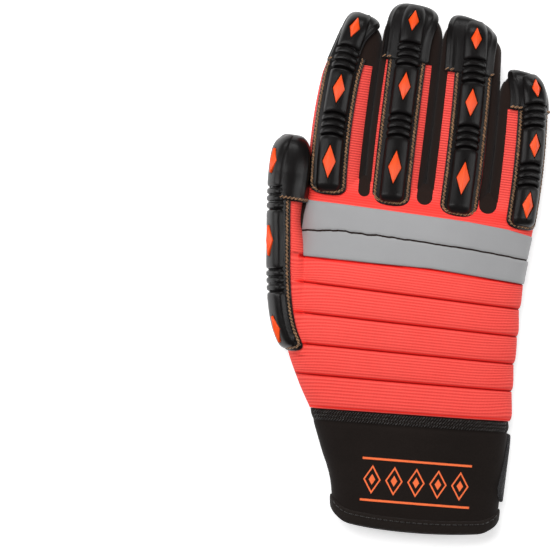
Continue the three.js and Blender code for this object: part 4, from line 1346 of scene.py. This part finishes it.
def make_band():
    """Two silver tapes that meet in a wavy seam, with a dark edge on the thumb side."""
    skin = Skin(lambda y: hand_sections(1 + y / HAND_LENGTH), np.arange(-45, 5, 0.5), 90, 75)
    x = np.linspace(BAND_LEFT, BAND_RIGHT, 320)
    inner_x = np.clip(x, BAND_LEFT, BAND_INNER)
    top = np.interp(x, [BAND_LEFT, 25, 45, BAND_RIGHT], [-3.7, -3.8, -4.8, -6.6])
    low = np.interp(x, *BAND_HEM)
    bends = [BAND_LEFT, -40, -10, 30, BAND_RIGHT]
    seam = np.interp(x, bends, [-19.4, -17.2, -16.8, -17.3, -18.6])
    waver = np.interp(x, [BAND_LEFT, -20, 20], [0.45, 0.4, 0.15])
    seam = seam + wobble(3, 1.0, x / 3.1, x / 1.3) * waver
    strips = []
    for edge_a, edge_b in ((low, seam - 0.28), (seam + 0.28, top)):
        t = np.array([0, 0.0, 0.01, 0.04, 0.12, 0.3, 0.5, 0.7, 0.88, 0.96, 0.99, 1.0, 1.0])
        high = np.array([-0.5, 0.5, 0.95, 1.2, 1.25, 1.22, 1.2, 1.22, 1.25, 1.2, 0.95, 0.5, -0.5])
        y = edge_a[:, None] + (edge_b - edge_a)[:, None] * t
        slant = np.interp(y, [-33, -3], [0.0, 1.5]) * clamped((-46.6 - x) / 10)[:, None]
        middle = (edge_a + edge_b) / 2
        across = skin.across_for(inner_x[:, None] + slant, middle[:, None] + 0 * slant)
        across[-1] = across[-2] + 0.8
        points, normals = skin.at(across, y)
        swell = high[None, :] + wobble(5, 0.06, x / 9, x / 4)[:, None] * (high > 1)
        rings = points + normals * swell[..., None]
        strips.append(solid("tape", *tube(rings)))
    finish_piece(joined(strips, "silver_band"), REFLECTIVE, ["knuckle_band"], angle=40)

    seam_profile = [(-0.65, -0.5), (-0.65, 0.9), (0, 1.05), (0.65, 0.9), (0.65, -0.5)]
    edge_profile = [(-0.6, -0.5), (-0.6, 1.1), (0, 1.5), (0.5, 1.2), (0.6, -0.5)]
    line = np.stack([skin.across_for(inner_x, seam), seam], 1)[2:-3]
    dark = [swept("seam", line, seam_profile, skin.at)]
    y = np.linspace(-3.2, -33.0, 60)
    x = BAND_LEFT - 0.1 + np.interp(y, [-33, -3], [0.0, 1.5]) + wobble(9, 0.12, y / 2.0)
    line = np.stack([skin.across_for(x, y), y], 1)
    dark.append(swept("edge", line, edge_profile, skin.at))
    finish_piece(joined(dark, "band_dark_seams"), STRETCH, angle=50)


def make_gusset():
    """The dark strip that closes the gap between the thumb and the hand beside the band."""
    t = np.linspace(0, 1, 40)
    middle = np.interp(t, [0, 0.15, 0.5, 1], [-55.8, -56.8, -56.9, -56.6])
    half = np.interp(t, [0, 0.15, 0.5, 1], [1.0, 1.7, 1.4, 0.6])
    turns = round_turns(20)
    x = middle[:, None] + half[:, None] * np.cos(turns)
    y = np.broadcast_to((3.0 - 37.0 * t)[:, None], x.shape)
    z = np.interp(t, [0, 1], [10.5, 11.5])[:, None] + 5.4 * np.sin(turns)
    strip = solid("thumb_gusset", *tube(np.stack([x, y, z], -1)))
    finish_piece(strip, STRETCH, angle=60)


make_band()
make_gusset()


# Cuff, binding, strap


def cuff_place(at, turns, offset=0.0):
    return ring_points(grown(cuff_sections(at), offset), turns)


def mouth_line(x):
    """Where the mouth's edge lies at a place across: a shallow arc, rounded at its corners."""
    mouth = cuff_sections(np.array([1.0]))
    left, right = float(mouth["left"][0]) - 0.6, float(mouth["right"][0]) + 0.6
    line = -161.0 + 0.0017 * (x - 2.0) ** 2 * np.where(x > 2, 1.0, 1.8)
    near = clamped(np.minimum(x - left, right - x) / MOUTH_RADIUS)
    return line + (MOUTH_RADIUS - 2) * (1 - quarter_round(near))


def down_column(rings, column, rows):
    """Points down one column of rings, at rows with fractions."""
    return blended(rows, np.arange(len(rings)), rings[:, column])


def row_at(rings, column, y):
    """The row, with its fraction, where a column of rings gets down to a place along."""
    return np.interp(-y, -rings[:, column, 1], np.arange(len(rings)))


def near_mouth(rings, across, inset):
    """A point on each column of rings, an inset away from the mouth's edge."""
    along = [mouth_line(x) + inset for x in across]
    return np.array([down_column(rings, j, row_at(rings, j, y)) for j, y in enumerate(along)])


def make_cuff():
    """The cuff cloth, its binding and its seams."""
    turns = round_turns(260)
    t = np.linspace(0, 1, 90)
    steps = np.linspace(-0.03, 1.05, 160)
    first = np.interp(0.0, steps, np.arange(len(steps)))
    shells = []
    for offset in (0.0, -CUFF_WALL + 0.6):
        mouth = mouth_line(cuff_place(np.array([1.0]), turns, offset)[0, :, 0])
        rings = cuff_place(steps, turns, offset)
        rows = [first + (row_at(rings, j, y) - first) * t for j, y in enumerate(mouth)]
        shells.append(np.stack([down_column(rings, j, row) for j, row in enumerate(rows)], 1))
    outer, inner = shells
    out = unit(outer - inner)
    x, y, z = np.moveaxis(outer, -1, 0)
    crease = wobble(11, 0.28, y / 6 + x / 19, y / 3.5 - x / 30)
    near = np.exp(-((t - 0.11) / 0.02) ** 2) * 0.55 + np.exp(-((t - 0.0) / 0.03) ** 2) * 0.6
    sunk = (crease * np.sin(math.pi * t)[:, None] - near[:, None]) * clamped((z - 4) / 6)
    outer = outer + out * sunk[..., None]
    lip = outer[-1:] * 0.5 + inner[-1:] * 0.5 + [0, -0.5, 0]
    profile = np.concatenate([outer[:-1], lip, inner[::-1]])
    faces = ring_faces(*profile.shape[:2])
    cuff = solid("cuff_cloth", profile.reshape(-1, 3), faces)
    x, y, z = vertex_places(cuff).T
    middle_x, middle_y = PRINT_MIDDLE
    top = z > SEAM_HEIGHT
    add_values(cuff, "print_x", np.where(top, x - middle_x + 0.07 * (y - middle_y), 99))
    add_values(cuff, "print_y", np.where(top, y - middle_y - 0.06 * x, 99))
    finish_piece(cuff, NEOPRENE, ["cuff"], angle=60)

    depth = np.array([6.4, 6.4, 5.9, 5.0, 3.0, 1.2, 0.2, -0.3, 0.2, 1.2, 3.0, 6.0])
    lift = np.array([-0.3, 0.5, 0.85, 1.0, 1.05, 1.0, 0.75, -1.2, -3.0, -3.3, -3.3, -3.2])
    steps = np.linspace(0.6, 1.05, 200)
    across = cuff_place(steps, turns, 0.0)[-1, :, 0]
    rings = [near_mouth(cuff_place(steps, turns, h), across, d) for d, h in zip(depth, lift)]
    rings = np.stack(rings)
    ripple = wobble(17, 0.1, turns * 23, turns * 41)
    rings[1:6, :, 2] += np.where(rings[1:6, :, 2] > 5, ripple, 0)
    binding = solid("binding_tape", rings.reshape(-1, 3), ring_faces(*rings.shape[:2]))
    finish_piece(binding, TAPE, ["cuff_binding"], angle=60)

    # Overlock stitches beside the hand, and one row on the binding
    above = np.linspace(math.pi - 0.3, 0.3, 200)
    loops = []
    for at in (0.02, 0.05, 0.08):
        spots = cuff_place(np.array([at]), above, 0.05)[0]
        out = cuff_place(np.array([at]), above, 1.05)[0] - spots
        loops.append((spots, out))
    seam = stitches("cuff_seam_stitches", loops, 1.9, -0.5, 0.55, twist=0.9)
    finish_piece(seam, DARK_THREAD)
    hem = cuff_place(steps, above, 1.0)
    spots = near_mouth(hem, hem[-1, :, 0], 4.6)
    mouth = np.array([1.0])
    out = cuff_place(mouth, above, 1.0)[0] - cuff_place(mouth, above, 0.0)[0]
    finish_piece(stitches("binding_stitches", [(spots, out)], 2.2, 0.6, 0.5), DARK_THREAD)


make_cuff()


def make_strap():
    """The end of the strap: it comes round the side and ends round on the palm side."""
    places = np.arange(-168.0, -98.0, 1.0)
    skin = Skin(lambda y: cuff_sections((CUFF_TOP - y) / CUFF_LENGTH), places, 270, 125)
    low, high = (np.array(corner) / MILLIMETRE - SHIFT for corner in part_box("wrist_strap"))
    centre, radius = (low[1] + high[1]) / 2, (high[1] - low[1]) / 2
    row = skin.points[int(centre - places[0])]
    side = row[:, 0] > 30
    top = np.where(side, np.abs(row[:, 2] - high[2] + 0.6), 99).argmin()
    under = np.where(row[:, 2] < SEAM_HEIGHT, np.abs(row[:, 0] - low[0]), 99).argmin()
    start, end = skin.widths[top], skin.widths[under]
    v = np.sin(np.linspace(-math.pi / 2, math.pi / 2, 41))
    s = np.linspace(0, 1, 150)
    past = clamped((np.abs(v) - 0.5) / 0.5)
    corner = 6.5 * (1 - np.sqrt(clamped(1 - past**2)))
    fray = wobble(23, 0.4, v * 31, v * 57)
    first = start + corner + fray
    last = end - radius * (1 - np.sqrt(1 - v**2)) * 0.98
    across = first[:, None] + (last - first)[:, None] * s
    edge = wobble(29, 0.3, s * 90, s * 150)
    along = centre + v[:, None] * (radius + edge[None, :])
    straight = along
    for _ in range(3):
        spots, normals = skin.at(across, straight)
        straight = straight + (along - spots[..., 1])
    spots, normals = skin.at(across, straight)
    rim = np.minimum(1 - np.abs(v)[:, None], 0.05) / 0.05
    rim = np.minimum(rim, np.minimum(s, 1 - s)[None, :] / 0.012)
    thick = 0.9 + 0.7 * quarter_round(clamped(rim))
    outer = spots + normals * (0.2 + thick)[..., None]
    strap = slab("wrist_strap_end", spots + normals * 0.25, outer)
    finish_piece(strap, LOOP, ["wrist_strap"], angle=50)


make_strap()


# Palm side


# Plans of the patches, as shares of the hand's width and length
UPPER_PATCH = [
    (-0.275, 0.22), (-0.185, 0.3), (-0.1, 0.24), (-0.05, 0.08), (0.012, 0.02), (0.06, 0.12),
    (0.1, 0.25), (0.19, 0.28), (0.25, 0.1), (0.29, 0.03), (0.33, 0.1), (0.35, 0.2),
    (0.44, 0.17), (0.47, 0.0), (0.465, -0.12), (0.3, -0.15), (0.12, -0.18), (-0.02, -0.2),
    (-0.12, -0.16), (-0.2, 0.0),
]
HEEL_PATCH = [
    (-0.45, 0.1), (-0.36, 0.14), (-0.3, 0.1), (-0.3, -0.02), (-0.22, -0.1), (-0.14, -0.27),
    (-0.02, -0.31), (0.15, -0.27), (0.46, -0.21), (0.47, -0.5), (0.46, -0.74), (0.3, -0.78),
    (0.12, -0.72), (0.0, -0.56), (-0.12, -0.44), (-0.28, -0.38), (-0.4, -0.26), (-0.44, -0.1),
]
THUMB_PATCH = [
    (-0.575, 0.16), (-0.548, 0.12), (-0.54, 0.0), (-0.5, -0.16), (-0.44, -0.34), (-0.3, -0.46),
    (-0.14, -0.53), (-0.02, -0.66), (0.04, -0.82), (-0.1, -0.85), (-0.26, -0.78), (-0.37, -0.65),
    (-0.46, -0.5), (-0.53, -0.3), (-0.58, -0.1), (-0.6, 0.08),
]


def pad_outline(k):
    tip = finger_tip(k)
    section = finger_sections(k, np.array([tip / 2]))
    half = 0.34 * float(section["right"][0] - section["left"][0])
    low, high = 0.36 * tip, tip - 0.42 * TIP_ROUND
    points = []
    for turn in np.linspace(math.pi, 2 * math.pi, 7):
        points.append((half * math.cos(turn), low + 0.6 * half * (1 + math.sin(turn))))
    for y in np.linspace(low + 0.6 * half, high, 5)[1:]:
        points.append((half, y))
    points += [(0.55 * half, high + 2.2), (-0.55 * half, high + 2.2)]
    for y in np.linspace(high, low + 0.6 * half, 5)[:-1]:
        points.append((-half, y))
    return [(x + float(finger_line(k, y) + finger_line(k + 1, y)) / 2, y) for x, y in points]


def make_patch(name, node, outline, rows=(1.5, 3.4)):
    """A patch with a rounded edge, and its rows of stitches."""
    path = smooth_ring(outline, 0.8)
    if np.sum(path[:-1, 0] * path[1:, 1] - path[1:, 0] * path[:-1, 1]) < 0:
        path = path[::-1]
    path = path[:-1]
    n = len(path)
    side = left_of(unit(np.roll(path, -1, 0) - np.roll(path, 1, 0), 0))
    edge = ((0.0, 1.7), (0.0, 0.85), (0.25, 0.56), (0.7, 0.45))
    rings = [np.column_stack([path + side * inset, np.full(n, low)]) for inset, low in edge]
    faces = grid_faces(len(edge), n, closed=True).tolist()
    faces += [[3 * n + j for j in range(n)], [j for j in range(n)][::-1]]
    patch = solid(name, np.concatenate(rings), faces)
    finish_piece(patch, PATCH, [node], angle=50)
    lines = []
    for inset in rows:
        ring = even(path + side * inset, 0.8)
        spots = np.column_stack([ring, np.full(len(ring), 0.52)])
        lines.append((spots, np.tile([0.0, 0.0, -1.0], (len(ring), 1))))
    return lines


def in_hand(outline):
    return [(x * HAND_WIDTH, y * HAND_LENGTH) for x, y in outline]


palm_lines = make_patch("palm_pad_upper", "palm_patch_upper", in_hand(UPPER_PATCH))
palm_lines += make_patch("palm_pad_heel", "palm_patch_heel", in_hand(HEEL_PATCH))
palm_lines += make_patch("palm_pad_thumb", "palm_patch_thumb", in_hand(THUMB_PATCH), (1.3, 2.5))
for k, finger in enumerate(FINGERS):
    pad = "pad_" + finger["name"]
    palm_lines += make_patch("finger_" + pad, pad, pad_outline(k), (1.3,))
palm_thread = stitches("palm_stitches", palm_lines, 2.3, 0.8, 0.75, lift=0.1)
finish_piece(palm_thread, ORANGE_THREAD)


# Camera, light and floor


CAMERA_LENS = 338.8
CAMERA_PLACE = (-0.0589, -0.013, 2.6)
CAMERA_TURN = 8.0
ROOM_LIGHT = 0.1
FLOOR_GLOW = 0.55


def set_scene():
    """The view from straight above, four soft lamps and the white floor."""
    scene = bpy.context.scene
    lens = bpy.data.cameras.new("view")
    lens.sensor_width = 36
    lens.lens = CAMERA_LENS
    lens.clip_end = 20
    camera = bpy.data.objects.new("view", lens)
    camera.location = CAMERA_PLACE
    camera.rotation_euler = (0, 0, math.radians(CAMERA_TURN))
    scene.collection.objects.link(camera)
    scene.camera = camera

    def lamp(name, place, width, length, power, mirrored=True):
        """A soft lamp that faces the glove."""
        data = bpy.data.lights.new(name, "AREA")
        data.shape = "RECTANGLE"
        data.size = width
        data.size_y = length
        data.energy = power
        light = bpy.data.objects.new(name, data)
        light.location = place
        light.rotation_euler = (-Vector(place)).to_track_quat("-Z", "Y").to_euler()
        light.visible_glossy = mirrored
        scene.collection.objects.link(light)

    lamp("key", (-0.3, 0.45, 1.2), 0.9, 0.9, 15, False)
    lamp("right_strip", (0.85, 0.1, 0.75), 0.2, 1.3, 3.0)
    lamp("left_strip", (-0.85, 0.0, 0.75), 0.2, 1.3, 3.4)
    lamp("upper_strip", (-0.1, 1.0, 0.75), 0.9, 0.2, 3.0)
    world = bpy.data.worlds.new("room")
    world.use_nodes = True
    room = world.node_tree.nodes["Background"]
    room.inputs["Color"].default_value = (1, 1, 1, 1)
    room.inputs["Strength"].default_value = ROOM_LIGHT
    scene.world = world
    scene.view_settings.view_transform = "Standard"

    bpy.ops.mesh.primitive_plane_add(size=6, location=(0, 0, -0.0001))
    floor = bpy.context.object
    floor.name = "floor"
    floor.data.transform(floor.matrix_world)
    floor.matrix_world.identity()
    glow = {"Emission Color": (1, 1, 1, 1), "Emission Strength": FLOOR_GLOW}
    paper = Finish("paper", (0.92, 0.92, 0.92), 0.9, **glow, **{"Specular IOR Level": 0.0})
    floor.data.materials.append(paper.material)


set_scene()
